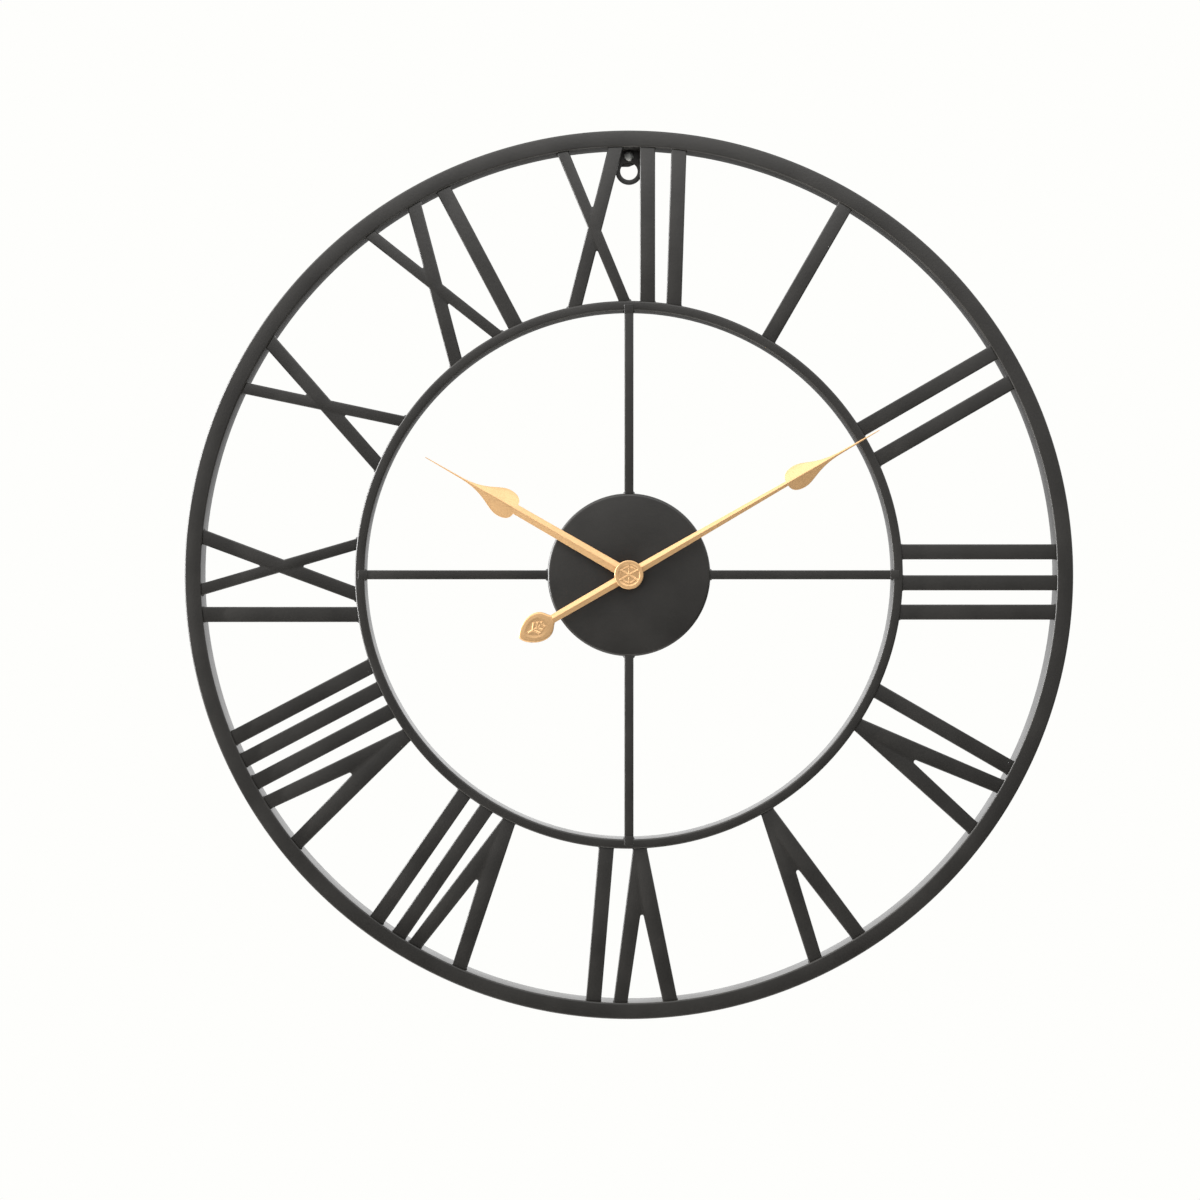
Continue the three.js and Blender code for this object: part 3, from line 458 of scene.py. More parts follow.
def spark_textured_plastic():
    """Black ABS moulded in a spark-eroded tool: an even fine grain that kills the gloss."""
    material, tree, shader, place = new_material("spark_textured_plastic")
    # Spark grain is about 0.1 mm; it is drawn at 0.5 mm so that it shows.
    grain = add_node(tree, "ShaderNodeTexNoise", {"Vector": place, "Scale": 1 / (0.5 * MM), "Detail": 3.0})
    flow = add_node(tree, "ShaderNodeTexNoise", {"Vector": place, "Scale": 1 / (15 * MM), "Detail": 2.0})
    finish(tree, shader, flow.outputs["Fac"], ("#1c1c1e", "#252528"), grain.outputs["Fac"], (0.40, 0.54),
           grain.outputs["Fac"], 0.04 * MM, IOR=1.53)
    return material


# The spacing of a wave pattern whose scale is 1.
WAVE_SPACING = math.tau / 20


def turned_brass():
    """Brass from a lathe: rings left by the tool about the clock's axis, and a slight tarnish."""
    material, tree, shader, place = new_material("turned_brass")
    centred = add_node(tree, "ShaderNodeMapping", {"Vector": place, "Location": (0, 0, -AXIS_Z)})
    # The tool's feed is about 0.1 mm a turn; its rings are drawn 0.5 mm apart so that they show.
    rings = add_node(tree, "ShaderNodeTexWave", {
        "Vector": centred.outputs[0], "Scale": WAVE_SPACING / (0.5 * MM), "Distortion": 0.4, "Detail": 1.0},
        wave_type="RINGS", rings_direction="Y")
    tarnish = add_node(tree, "ShaderNodeTexNoise", {"Vector": place, "Scale": 1 / (4 * MM), "Detail": 4.0})
    finish(tree, shader, tarnish.outputs["Fac"], ("#b8934a", "#d3ad62"), tarnish.outputs["Fac"], (0.24, 0.36),
           rings.outputs["Fac"], 0.01 * MM, Metallic=1.0)
    return material


def moulded_nylon():
    """Natural white nylon, injection moulded: a milky, slightly waxy surface."""
    material, tree, shader, place = new_material("moulded_nylon")
    flow = add_node(tree, "ShaderNodeTexNoise", {"Vector": place, "Scale": 1 / (3 * MM), "Detail": 3.0})
    finish(tree, shader, flow.outputs["Fac"], ("#d3cfc2", "#e0ddd2"), flow.outputs["Fac"], (0.38, 0.5),
           flow.outputs["Fac"], 0.02 * MM, IOR=1.53, Subsurface_Weight=0.15, Subsurface_Scale=1 * MM)
    return material


def sintered_magnet():
    """A sintered ferrite magnet: dark grey, with the pores of its pressed powder."""
    material, tree, shader, place = new_material("sintered_magnet")
    pores = add_node(tree, "ShaderNodeTexVoronoi", {"Vector": place, "Scale": 1 / (0.3 * MM)})
    pores = pores.outputs["Distance"]
    finish(tree, shader, pores, ("#2a2a2c", "#434345"), pores, (0.4, 0.5),
           pores, 0.02 * MM, (0.1, 0.6), Metallic=0.6)
    return material


def enamelled_winding():
    """Fine enamelled copper wire wound on a bobbin: close turns across the coil, each with painted shade and
    a painted glint in its colour.
    """
    material, tree, shader, place = new_material("enamelled_winding")
    # The wire is about 0.02 mm thick; its turns are drawn 0.3 mm apart so that they show.
    turns = add_node(tree, "ShaderNodeTexWave", {
        "Vector": place, "Scale": WAVE_SPACING / (0.3 * MM), "Distortion": 0.3},
        wave_type="BANDS", bands_direction="X")
    # Across each turn the colour runs from dark copper to pale copper: painted shade and a painted glint of
    # the round wire. Its roughness and its real bump follow the same bands.
    finish(tree, shader, turns.outputs["Fac"], ("#8c4219", "#c4743c"), turns.outputs["Fac"], (0.35, 0.27),
           turns.outputs["Fac"], 0.04 * MM, (0.2, 0.9), Metallic=0.9)
    return material


def etched_circuit_board():
    """Glass-epoxy board under green solder mask, its copper tracks standing through as paler lines."""
    material, tree, shader, place = new_material("etched_circuit_board")
    tracks = add_node(tree, "ShaderNodeTexBrick", {
        "Vector": place, "Scale": 1 / (5 * MM), "Mortar Size": 0.05}).outputs["Fac"]
    finish(tree, shader, tracks, ("#1c5131", "#4d8a55"), tracks, (0.38, 0.32), tracks, 0.04 * MM, IOR=1.5)
    return material


def moulded_rubber():
    """Black nitrile rubber, moulded: dull, with a dusty bloom."""
    material, tree, shader, place = new_material("moulded_rubber")
    bloom = add_node(tree, "ShaderNodeTexNoise", {"Vector": place, "Scale": 1 / (2 * MM), "Detail": 5.0})
    finish(tree, shader, bloom.outputs["Fac"], ("#151515", "#2b2b29"), bloom.outputs["Fac"], (0.75, 0.85),
           bloom.outputs["Fac"], 0.05 * MM, IOR=1.52)
    return material


battery_low, battery_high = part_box("battery")


def shrunk_cell_label():
    """Printed shrink film on an AA cell: a silver-grey body with a blue band at its plus end."""
    material, tree, shader, place = new_material("shrunk_cell_label")
    along = add_node(tree, "ShaderNodeSeparateXYZ", {"Vector": place})
    share = add_node(tree, "ShaderNodeMapRange", {
        "Value": along.outputs["X"], "From Min": battery_low.x, "From Max": battery_high.x})
    drawn = add_node(tree, "ShaderNodeMapping", {"Vector": place, "Scale": (0.3, 1, 1)})
    # Shrinking leaves waves a few millimetres long in the film, drawn out along the cell.
    waves = add_node(tree, "ShaderNodeTexNoise", {
        "Vector": drawn.outputs[0], "Scale": 1 / (2 * MM), "Detail": 2.0})
    finish(tree, shader, share.outputs["Result"], ("#b9bcbd", "#7b8084"), waves.outputs["Fac"],
           (0.25, 0.33), waves.outputs["Fac"], 0.01 * MM, (0.0, 0.04),
           Metallic=0.5, Coat_Weight=0.6, Coat_Roughness=0.12)
    # The film's own inks: the silver body, a pale line, the blue band and the silver plus end.
    printed = shader.inputs["Base Color"].links[0].from_node.color_ramp
    printed.interpolation = "CONSTANT"
    for position, hex_colour in ((0.7, "#d8d9d6"), (0.715, "#31506b"), (0.94, "#b9bcbd")):
        printed.elements.new(position).color = linear(hex_colour)
    return material


COAT = powder_coated_steel()
GOLD = lacquered_gold_aluminium()
ZINC = zinc_plated_steel()
PLASTIC = spark_textured_plastic()
BRASS = turned_brass()
NYLON = moulded_nylon()
RUBBER = moulded_rubber()

# The works inside the case keep their CAD shapes and take real finishes.
for node, material in {
        "cannon_pinion": BRASS, "centre_wheel": BRASS, "motion_wheel": NYLON, "hour_wheel": NYLON,
        "third_wheel": NYLON, "reduction_wheel_1": NYLON, "reduction_wheel_2": NYLON,
        "rotor": sintered_magnet(), "stator": ZINC, "coil": enamelled_winding(),
        "circuit_board": etched_circuit_board(), "quartz_crystal": ZINC}.items():
    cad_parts[node].data.materials.clear()
    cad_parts[node].data.materials.append(material)


# ---------- rings and pan ----------
def channel_section(outside, face, wall):
    """The folded channel of a ring: two walls behind a flat face, open at the back."""
    within = outside - face
    bend = RING_BEND - wall if RING_BEND > wall else CUT_EDGE
    return [
        (outside, 0, CUT_EDGE), (outside, RING_DEPTH, RING_BEND), (within, RING_DEPTH, RING_BEND),
        (within, 0, CUT_EDGE), (within + wall, 0, CUT_EDGE), (within + wall, RING_DEPTH - wall, bend),
        (outside - wall, RING_DEPTH - wall, bend), (outside - wall, 0, CUT_EDGE)]


STEM_RADIUS = 3.9 * MM
STEM_PLAY = 0.3 * MM
STEM_HOLE = STEM_RADIUS + STEM_PLAY
OUTER_STEPS, INNER_STEPS, PAN_STEPS = 320, 240, 160
hand_in("outer_ring_folded", rolled(channel_section(OUTER_RADIUS, OUTER_FACE, OUTER_WALL), OUTER_STEPS, COAT),
        COAT, ["outer_ring"])
hand_in("inner_ring_folded", rolled(channel_section(INNER_RADIUS, INNER_FACE, INNER_WALL), INNER_STEPS, COAT),
        COAT, ["inner_ring"])
pan_section = [
    (STEM_HOLE, PAN_FRONT, CUT_EDGE), (PAN_RADIUS, PAN_FRONT, PAN_BEND), (PAN_RADIUS, PAN_REAR, CUT_EDGE),
    (PAN_RADIUS - PAN_WALL, PAN_REAR, CUT_EDGE),
    (PAN_RADIUS - PAN_WALL, PAN_FRONT - PAN_WALL, PAN_BEND - PAN_WALL),
    (STEM_HOLE, PAN_FRONT - PAN_WALL, CUT_EDGE)]
hand_in("hub_pan_pressed", rolled(pan_section, PAN_STEPS, COAT), COAT, ["hub_pan"])

# ---------- spokes ----------
LAP_START = 2 * MM                  # the lap begins this far inside the inner ring
LAP_REACH = 4.3 * MM                # and covers this much of the ring's face
LAP_SUNK = 0.6 * MM
LAP_PROUD = 0.3 * MM
LAP_CORNER = 0.8 * MM
spoke_half = (spoke_high.x - spoke_low.x) / 2
spoke_rear = -spoke_high.y


def spoke(hour):
    """A square bar from the pan to the inner ring, its end lapped over the ring's face and ground down."""
    turn = turn_of(hour)
    bar = rounded([
        (-spoke_half, PAN_RADIUS - WELD_BITE, 0), (spoke_half, PAN_RADIUS - WELD_BITE, 0),
        (spoke_half, INNER_BORE + WELD_BITE, 0), (-spoke_half, INNER_BORE + WELD_BITE, 0)])
    lap = rounded([
        (-spoke_half, INNER_BORE - LAP_START, 0), (spoke_half, INNER_BORE - LAP_START, 0),
        (spoke_half, INNER_BORE + LAP_REACH, LAP_CORNER), (-spoke_half, INNER_BORE + LAP_REACH, LAP_CORNER)])
    lap_depths = (RING_DEPTH - LAP_SUNK, RING_DEPTH + LAP_PROUD)
    return joined(
        plate(bar, (spoke_rear, RING_DEPTH), SPOKE_EDGE, turn),
        plate(lap, lap_depths, LAP_PROUD, turn))


SPOKE_HOURS = (12, 3, 6, 9)
for hour in SPOKE_HOURS:
    hand_in(f"spoke_{hour}_bar", spoke(hour), COAT, [f"spoke_{hour}"])

# ---------- numerals ----------
# Each letter is (kind, foot, head): where its middle meets the inner and the outer ring, in millimetres
# clockwise along the dial from its hour.
NUMERALS = {
    1: [("i", 2, 2)],
    2: [("i", -6.8, -6.8), ("i", 16.3, 16.3)],
    3: [("i", -15.5, -15.5), ("i", 5.4, 5.4), ("i", 25.2, 25.2)],
    4: [("i", -15.9, -15.9), ("v", 10.3, 15.1)],
    5: [("v", -1, 4)],
    6: [("v", -7.4, -11.2), ("i", 15.2, 24)],
    7: [("v", -13, -16.8), ("i", 4.4, 12.9), ("i", 22.4, 31)],
    8: [("v", -18.6, -28.1), ("i", 0.5, 4.7), ("i", 17.5, 21.6), ("i", 33.7, 37.9)],
    9: [("i", -26.8, -26.8), ("x", 3.9, 7.9)],
    10: [("x", -3.5, -2.8)],
    11: [("x", -12.6, -18.6), ("i", 17.7, 21.6)],
    12: [("x", -19.7, -26.9), ("i", 12.6, 12.6), ("i", 30.4, 33.8)],
}
I_WIDTH = 10.3 * MM
V_HEAD, V_FOOT = 43.5 * MM, 9.2 * MM
V_LEFT, V_RIGHT = 10 * MM, 9.5 * MM
V_NOTCH = 0.62                      # the notch's corner before its rounding, share of the way down
NOTCH_ROUND = 1.2 * MM
CROTCH_ROUND = 0.7 * MM
X_HEAD, X_FOOT = 36 * MM, 34 * MM
X_THIN, X_THICK = 8 * MM, 10 * MM
LETTER_FOOT = INNER_RADIUS - WELD_BITE
LETTER_HEAD = OUTER_BORE + WELD_BITE


def on_circle(along, radius):
    """Where a line parallel to the hour's own meets a circle about the axis."""
    return Vector((along, math.sqrt(radius ** 2 - along ** 2)))


def stroke(foot, head, width):
    """The two sides of a stroke, left and right, each from the inner ring to the outer."""
    return [(on_circle(foot + side, LETTER_FOOT), on_circle(head + side, LETTER_HEAD))
            for side in (-width / 2, width / 2)]


def crossing(first, second):
    """Where two sides cross."""
    (a, b), (c, d) = first, second
    share = (c - a).cross(d - c) / (b - a).cross(d - c)
    return a.lerp(b, share)


def outline_i(foot, head):
    """One straight stroke, as corners for rounded()."""
    left, right = stroke(foot, head, I_WIDTH)
    return [(*p, 0) for p in (left[0], right[0], right[1], left[1])]


def outline_v(foot, head):
    """Two strokes that meet at a flat foot, with a deep notch from the head."""
    left, right = head - V_HEAD / 2, head + V_HEAD / 2
    foot_left, foot_right = foot - V_FOOT / 2, foot + V_FOOT / 2
    notch = LETTER_HEAD + (LETTER_FOOT - LETTER_HEAD) * V_NOTCH
    notch_left = left + (foot_left - left) * V_NOTCH + V_LEFT
    notch_right = right + (foot_right - right) * V_NOTCH - V_RIGHT
    return [
        (*on_circle(foot_left, LETTER_FOOT), 0), (*on_circle(foot_right, LETTER_FOOT), 0),
        (*on_circle(right, LETTER_HEAD), 0), (*on_circle(right - V_RIGHT, LETTER_HEAD), 0),
        ((notch_left + notch_right) / 2, notch, NOTCH_ROUND),
        (*on_circle(left + V_LEFT, LETTER_HEAD), 0), (*on_circle(left, LETTER_HEAD), 0)]


def outline_x(foot, head):
    """A thin stroke and a thick one, crossed, with their crotches eased."""
    thin_left, thin_right = stroke(foot + X_FOOT / 2, head - X_HEAD / 2, X_THIN)
    thick_left, thick_right = stroke(foot - X_FOOT / 2, head + X_HEAD / 2, X_THICK)
    return [
        (*thick_left[0], 0), (*thick_right[0], 0), (*crossing(thick_right, thin_left), CROTCH_ROUND),
        (*thin_left[0], 0), (*thin_right[0], 0), (*crossing(thick_right, thin_right), CROTCH_ROUND),
        (*thick_right[1], 0), (*thick_left[1], 0), (*crossing(thick_left, thin_right), CROTCH_ROUND),
        (*thin_right[1], 0), (*thin_left[1], 0), (*crossing(thick_left, thin_left), CROTCH_ROUND)]


OUTLINES = {"i": outline_i, "v": outline_v, "x": outline_x}
LONGEST_SEAM = 1.5 * I_WIDTH
seams = []                          # (start, end, depth, turn) of each weld, across the back of a joint
for hour, letters in NUMERALS.items():
    turn = turn_of(hour)
    for k, (kind, foot, head) in enumerate(letters, start=1):
        corners = OUTLINES[kind](foot * MM, head * MM)
        letter = plate(rounded(corners), LETTER_DEPTHS, LETTER_EDGE, turn)
        hand_in(f"numeral_{hour}_letter_{k}", letter,
                COAT, [f"numeral_{hour}_{kind}{k}"])
        for i, (x, y, _) in enumerate(corners):
            a, b = Vector((x, y)), Vector(corners[(i + 1) % len(corners)][:2])
            welded = [abs(p.length - LETTER_FOOT) < WELD_BITE or abs(p.length - LETTER_HEAD) < WELD_BITE
                      for p in (a, b)]
            if all(welded) and (b - a).length < LONGEST_SEAM and abs(a.length - b.length) < WELD_BITE:
                seams.append((a, b, LETTER_DEPTHS[0], turn))
for hour in SPOKE_HOURS:
    for radius in (PAN_RADIUS, INNER_BORE):
        ends = [Vector((side * spoke_half, radius)) for side in (-1, 1)]
        seams.append((*ends, spoke_rear, turn_of(hour)))

# ---------- weld beads ----------
BEAD_WIDTH = 3.3 * MM
BEAD_PITCH = 1.3 * MM
BEAD_MARGIN = 0.12                  # a bead stops this share of its length short of each end


def weld_seams():
    """All the seams as one mesh of separate edges, each just off the two faces that it joins."""
    points = []
    for a, b, depth, turn in seams:
        radius = (a.length + b.length) / 2
        toward = WELD_BITE if radius < (INNER_RADIUS + OUTER_BORE) / 2 else -WELD_BITE
        toward = toward if radius > INNER_RADIUS - INNER_FACE / 2 else 0
        for point in (a.lerp(b, BEAD_MARGIN), b.lerp(a, BEAD_MARGIN)):
            point = point.normalized() * (point.length + toward)
            points.append(on_dial(point.x, point.y, depth, turn))
    mesh = bpy.data.meshes.new("seams")
    mesh.from_pydata(points, [(i, i + 1) for i in range(0, len(points), 2)], [])
    return mesh


beads = grown(WELD_BEAD, weld_seams(), Pitch=BEAD_PITCH, Width=BEAD_WIDTH, Seed=7, Finish=COAT)
hand_in("weld_beads", tidied(beads), COAT, [], smooth_degrees=60)


# ---------- hanger ----------
SHEET_EDGE = 0.3 * MM
SHEET_CORNER = 1 * MM
EYE_END = (eye_high.x - eye_low.x) / 2
EYE_BORE = 5.9 * MM
EYE_OUT = eye_low.z + EYE_END - AXIS_Z
RIVET_OUT = (rivet_low.z + rivet_high.z) / 2 - AXIS_Z
RIVET_HEAD = 3.3 * MM
RIVET_SHANK = 1.6 * MM
RIVET_HOLE = 1.9 * MM
RIVET_RIM = 0.2 * MM                # the upright rim under its dome
RIVET_LIFT = 0.05 * MM
REAR_HEAD = 0.85 * RIVET_HEAD
REAR_HEAD_RISE = 0.7 * MM
REAR_SHANK = 0.8 * MM               # depth at which the shank leaves the rear head
CROWN_FLAT = 0.02 * MM
HANGER_TOP = OUTER_BORE + WELD_BITE
TAB_CUT_RISE = 3.4 * MM             # one half of the tab's end is sheared off at a slant
TAB_CUT_ROUND = 4 * MM
LONGEST_SIDE = 1 * MM               # of the outline of a pierced plate


def pierced(outline, depths, radius, out):
    """A sheet with one round hole, whose points face those of the outline."""
    centre = Vector((0, out))
    hole = [centre + (point - centre).normalized() * radius for point in outline]
    return plate(outline, depths, SHEET_EDGE, hole=hole)


def divided(points, longest):
    """An outline with points added so that no side is longer than a length."""
    made = []
    for i, point in enumerate(points):
        following = points[(i + 1) % len(points)]
        count = max(1, math.ceil((following - point).length / longest))
        made += [point.lerp(following, k / count) for k in range(count)]
    return made


tab_half = (tab_high.x - tab_low.x) / 2
tab_end = tab_low.z - AXIS_Z
tab_outline = divided(rounded([
    (-tab_half, tab_end, SHEET_CORNER), (0, tab_end, TAB_CUT_ROUND),
    (tab_half, tab_end + TAB_CUT_RISE, SHEET_CORNER),
    (tab_half, HANGER_TOP, 0), (-tab_half, HANGER_TOP, 0)]), LONGEST_SIDE)
tab = pierced(tab_outline, (-tab_high.y, -tab_low.y), RIVET_HOLE, RIVET_OUT)
hand_in("hanger_tab_sheared", tab, COAT, ["hanger_tab"])

ROUND_STEPS = 32
round_end = [
    Vector((EYE_END * math.cos(t), EYE_OUT + EYE_END * math.sin(t)))
    for t in (math.pi + math.pi * k / ROUND_STEPS for k in range(ROUND_STEPS + 1))]
square_end = [Vector((EYE_END, HANGER_TOP)), Vector((-EYE_END, HANGER_TOP))]
eye = pierced(divided(round_end + square_end, LONGEST_SIDE), (-eye_high.y, -eye_low.y), EYE_BORE, EYE_OUT)
hand_in("hanger_eye_stamped", eye, COAT, ["hanger_plate"])


def at_rivet(a, b, height):
    """A point about the rivet's axis."""
    return on_dial(a, RIVET_OUT + b, height)


def dome(radius, foot, rise, steps=8):
    """The rows of a low dome standing on a depth, with a small flat left at its crown for the pole."""
    turns = [math.pi / 2 * k / steps for k in range(steps + 1)]
    return [(max(radius * math.cos(t), CROWN_FLAT), foot + rise * math.sin(t)) for t in turns]


rivet_front, rivet_foot = -rivet_low.y, -eye_low.y + RIVET_LIFT
dome_foot = rivet_foot + RIVET_RIM
rear_head = [(r, -rivet_high.y + REAR_HEAD_RISE - h) for r, h in dome(REAR_HEAD, 0, REAR_HEAD_RISE)]
rivet_rows = rear_head[::-1] + [(RIVET_SHANK, REAR_SHANK), (RIVET_SHANK, rivet_foot)]
rivet_rows += [(RIVET_HEAD, rivet_foot)] + dome(RIVET_HEAD, dome_foot, rivet_front - dome_foot)
hand_in("hanger_rivet_headed", spun(rivet_rows, 40, at_rivet), ZINC, ["hanger_rivet"])

# ---------- hands: bent sheet with a ridge, a spade near the tip and a needle point ----------
HAND_SHEET = 0.8 * MM
HAND_SLOPE = 0.36                   # fall of the two flanks from the ridge
RIDGE_ROUND = 0.12 * MM
HUB_RADIUS = 7.5 * MM
HUB_THICKNESS = 1.4 * MM
HOUR_BORE = 2.7 * MM
MINUTE_BORE = 1.5 * MM
HOUR_RIDGE = -hour_low.y
HANDS_APART = 4.6 * MM
MINUTE_RIDGE = HOUR_RIDGE + HANDS_APART
HOUR_TURN = math.radians(300)
MINUTE_TURN = math.radians(60)
HOUR_LENGTH = 158 * MM
MINUTE_LENGTH = 194 * MM
POINT_HALF = 0.25 * MM
THIN_EDGE = 0.45                    # a narrow blade's edge is rounded over this share of its half-width


def bezier(points, steps):
    """Points along a cubic curve, without its first."""
    a, b, c, d = (Vector(p) for p in points)
    shares = [k / steps for k in range(1, steps + 1)]
    return [a * (1 - t) ** 3 + b * 3 * t * (1 - t) ** 2 + c * 3 * t * t * (1 - t) + d * t ** 3
            for t in shares]


def spade_side(root, shaft, widest, needle, length):
    """One side of a hand from (half-width, distance out) places: shaft, shoulder, hollow taper, needle."""
    (shaft_half, start), (widest_half, widest_out), (needle_half, needle_out) = shaft, widest, needle
    rise, fall = widest_out - start, needle_out - widest_out
    side = [Vector(root)]
    side += [side[0].lerp(Vector(shaft), k / 8) for k in range(1, 9)]
    side += bezier([shaft, (shaft_half + 0.55 * (widest_half - shaft_half), start + rise * 0.02),
                    (widest_half, start + rise * 0.3), (widest_half, widest_out)], 16)
    side += bezier([(widest_half, widest_out), (widest_half, widest_out + fall * 0.26),
                    (needle_half * 1.6, widest_out + fall * 0.41), (needle_half, needle_out)], 20)
    side += [side[-1].lerp(Vector((POINT_HALF, length)), k / 6) for k in range(1, 7)]
    return side


def blade(side, ridge, turn):
    """A strip of bent sheet that follows the half-widths of one side of its outline."""
    across = [(k / 8) ** 1.5 for k in range(9)]
    bend = [math.pi / 2 * k / 4 for k in range(1, 5)]
    points, section = [], 0

    def top(u):
        return ridge - HAND_SLOPE * (math.sqrt(u * u + RIDGE_ROUND ** 2) - RIDGE_ROUND)

    for half, out in side:
        edge = min(SHEET_EDGE, THIN_EDGE * half)
        flat = half - edge
        right = [(flat * share, top(flat * share)) for share in across]
        right += [(flat + edge * math.sin(a), top(flat) - edge * (1 - math.cos(a))) for a in bend]
        right += [(u, top(flat) - HAND_SHEET + (top(flat) - d)) for u, d in reversed(right[len(across):])]
        right += [(flat * share, top(flat * share) - HAND_SHEET) for share in reversed(across)]
        loop = right + [(-u, d) for u, d in reversed(right) if u > 0]
        section = len(loop)
        points += [on_dial(u, out, d, turn) for u, d in loop]
    faces = [range(section), range(len(points) - section, len(points))]
    return mesh_of(points, faces + skin(0, len(side), section))


def bush(bore, ridge):
    """The collar under a hand that grips its pipe."""
    depths = (ridge - HAND_SHEET - HUB_THICKNESS, ridge - HAND_SHEET)
    return rolled(washer_section(bore, HUB_RADIUS, depths, SHEET_EDGE), 64, GOLD)


# Places along each hand, as (half-width, distance out from the axis).
HOUR_ROOT, HOUR_SHAFT = (3.9 * MM, HOUR_BORE), (3.45 * MM, 88 * MM)
HOUR_WIDEST, HOUR_NEEDLE = (9.7 * MM, 97 * MM), (0.6 * MM, 130 * MM)
MINUTE_ROOT, MINUTE_SHAFT = (3.2 * MM, MINUTE_BORE), (1.7 * MM, 122.5 * MM)
MINUTE_WIDEST, MINUTE_NEEDLE = (8.15 * MM, 132 * MM), (0.9 * MM, 163 * MM)

hour_side = spade_side(HOUR_ROOT, HOUR_SHAFT, HOUR_WIDEST, HOUR_NEEDLE, HOUR_LENGTH)
hand_in("hour_hand_pressed", joined(blade(hour_side, HOUR_RIDGE, HOUR_TURN), bush(HOUR_BORE, HOUR_RIDGE)),
        GOLD, ["hour_hand"], body="hour")

minute_side = spade_side(MINUTE_ROOT, MINUTE_SHAFT, MINUTE_WIDEST, MINUTE_NEEDLE, MINUTE_LENGTH)
TAIL_HALF = 3.2 * MM
TAIL_NECK_HALF = 2.9 * MM
TAIL_NECK = 59 * MM
TAIL_END = 85 * MM
TAIL_WIDEST = 70 * MM
TAIL_WIDEST_HALF = 9.8 * MM
DROP_SUNK = 0.2 * MM                # the drop's rim lies this far behind the ridge
DROP_THICKNESS = 2.6 * MM
# The drop's face: where each zone starts as a share of the way to its rim, and heights in millimetres.
RIM_START, RIM_FALL, CROWN = 0.86, 0.9, 0.25
FIELD_EDGE, FIELD_SLOPE, FIELD_DEPTH = 0.5, 0.16, 0.3
LEAF_SHARE, LEAF_RISE = 0.56, 0.5
# The leaf, in millimetres: its midrib, and veins that lean back from it at a slope.
MIDRIB_HALF, MIDRIB_REACH = 0.6, 6
VEIN_FEET, VEIN_SLOPE, VEIN_HALF = (-4.2, -0.9, 2.4), 0.75, 0.85
LEAF_HALF, LEAF_TAPER = 4.6, 0.45
SHAFT_FADE = 0.35                   # fall of the shaft's end as it sinks into the drop
tail_side = [Vector((TAIL_HALF, -MINUTE_BORE)).lerp(Vector((TAIL_NECK_HALF, -TAIL_NECK)), k / 10)
             for k in range(11)]


def counterweight():
    """The cast drop at the end of the minute hand: a broad smooth border round a raised leaf."""
    half = [Vector((0, -TAIL_END))]
    half += bezier([(0, -TAIL_END), (4.2 * MM, -TAIL_END + 0.5 * MM),
                    (TAIL_WIDEST_HALF, -TAIL_WIDEST - 6.5 * MM), (TAIL_WIDEST_HALF, -TAIL_WIDEST)], 40)
    half += bezier([(TAIL_WIDEST_HALF, -TAIL_WIDEST), (TAIL_WIDEST_HALF, -TAIL_NECK - 3.5 * MM),
                    (4.6 * MM, -TAIL_NECK - 2.5 * MM), (TAIL_NECK_HALF, -TAIL_NECK)], 28)
    half.append(Vector((TAIL_NECK_HALF * 0.5, -TAIL_NECK)))
    outline = half + [Vector((-p.x, p.y)) for p in reversed(half[1:])]
    front = MINUTE_RIDGE - DROP_SUNK
    middle = Vector((0, -TAIL_WIDEST - 2 * MM))

    def face(point, share):
        u, v = abs(point.x) / MM, (middle.y - point.y) / MM
        rim = max(0.0, (share - RIM_START) / (1 - RIM_START))
        border = RIM_FALL * (1 - math.sqrt(max(0.0, 1 - rim * rim))) + CROWN * share ** 2
        field = FIELD_DEPTH * (1 - min(1.0, max(0.0, (share - FIELD_EDGE) / FIELD_SLOPE)))
        veins = [math.exp(-(u / MIDRIB_HALF) ** 2) if abs(v) < MIDRIB_REACH else 0.0]
        for foot in VEIN_FEET:
            away = abs((v - foot) + VEIN_SLOPE * u) / VEIN_HALF
            veins.append(math.exp(-away * away) if u < LEAF_HALF - LEAF_TAPER * abs(v) else 0.0)
        leaf = LEAF_RISE * max(veins) if share < LEAF_SHARE else 0.0
        past_neck = max(0.0, -point.y - TAIL_NECK) / MM
        shaft = MINUTE_RIDGE - (HAND_SLOPE * max(u, POINT_HALF / MM) + SHAFT_FADE * past_neck) * MM
        return max(front - (border + field - leaf) * MM, shaft)

    return relief(outline, middle, 44, MINUTE_RIDGE - DROP_THICKNESS, face, MINUTE_TURN)


minute_hand = joined(
    blade(minute_side, MINUTE_RIDGE, MINUTE_TURN), blade(tail_side, MINUTE_RIDGE, MINUTE_TURN),
    counterweight(), bush(MINUTE_BORE, MINUTE_RIDGE))
hand_in("minute_hand_pressed", minute_hand, GOLD, ["minute_hand"], body="minute")


# The cap's face, in millimetres: a rim, a sunk field, and in it a rosette and a bead.
CAP_RIM_START, CAP_RIM_FALL = 0.93, 0.6         # the start is a share of the radius
CAP_FIELD, CAP_WALL = 6.6, 0.9
CAP_SUNK, CAP_RAISED = 0.6, 0.5
ROSETTE_SPOKES, ROSETTE_HALF = 6, 0.42
BOSS_RADIUS, BOSS_CROWN = 1.2, 0.5
CAP_BEAD, CAP_BEAD_HALF, CAP_BEAD_SHARE = 5.2, 0.3, 0.7


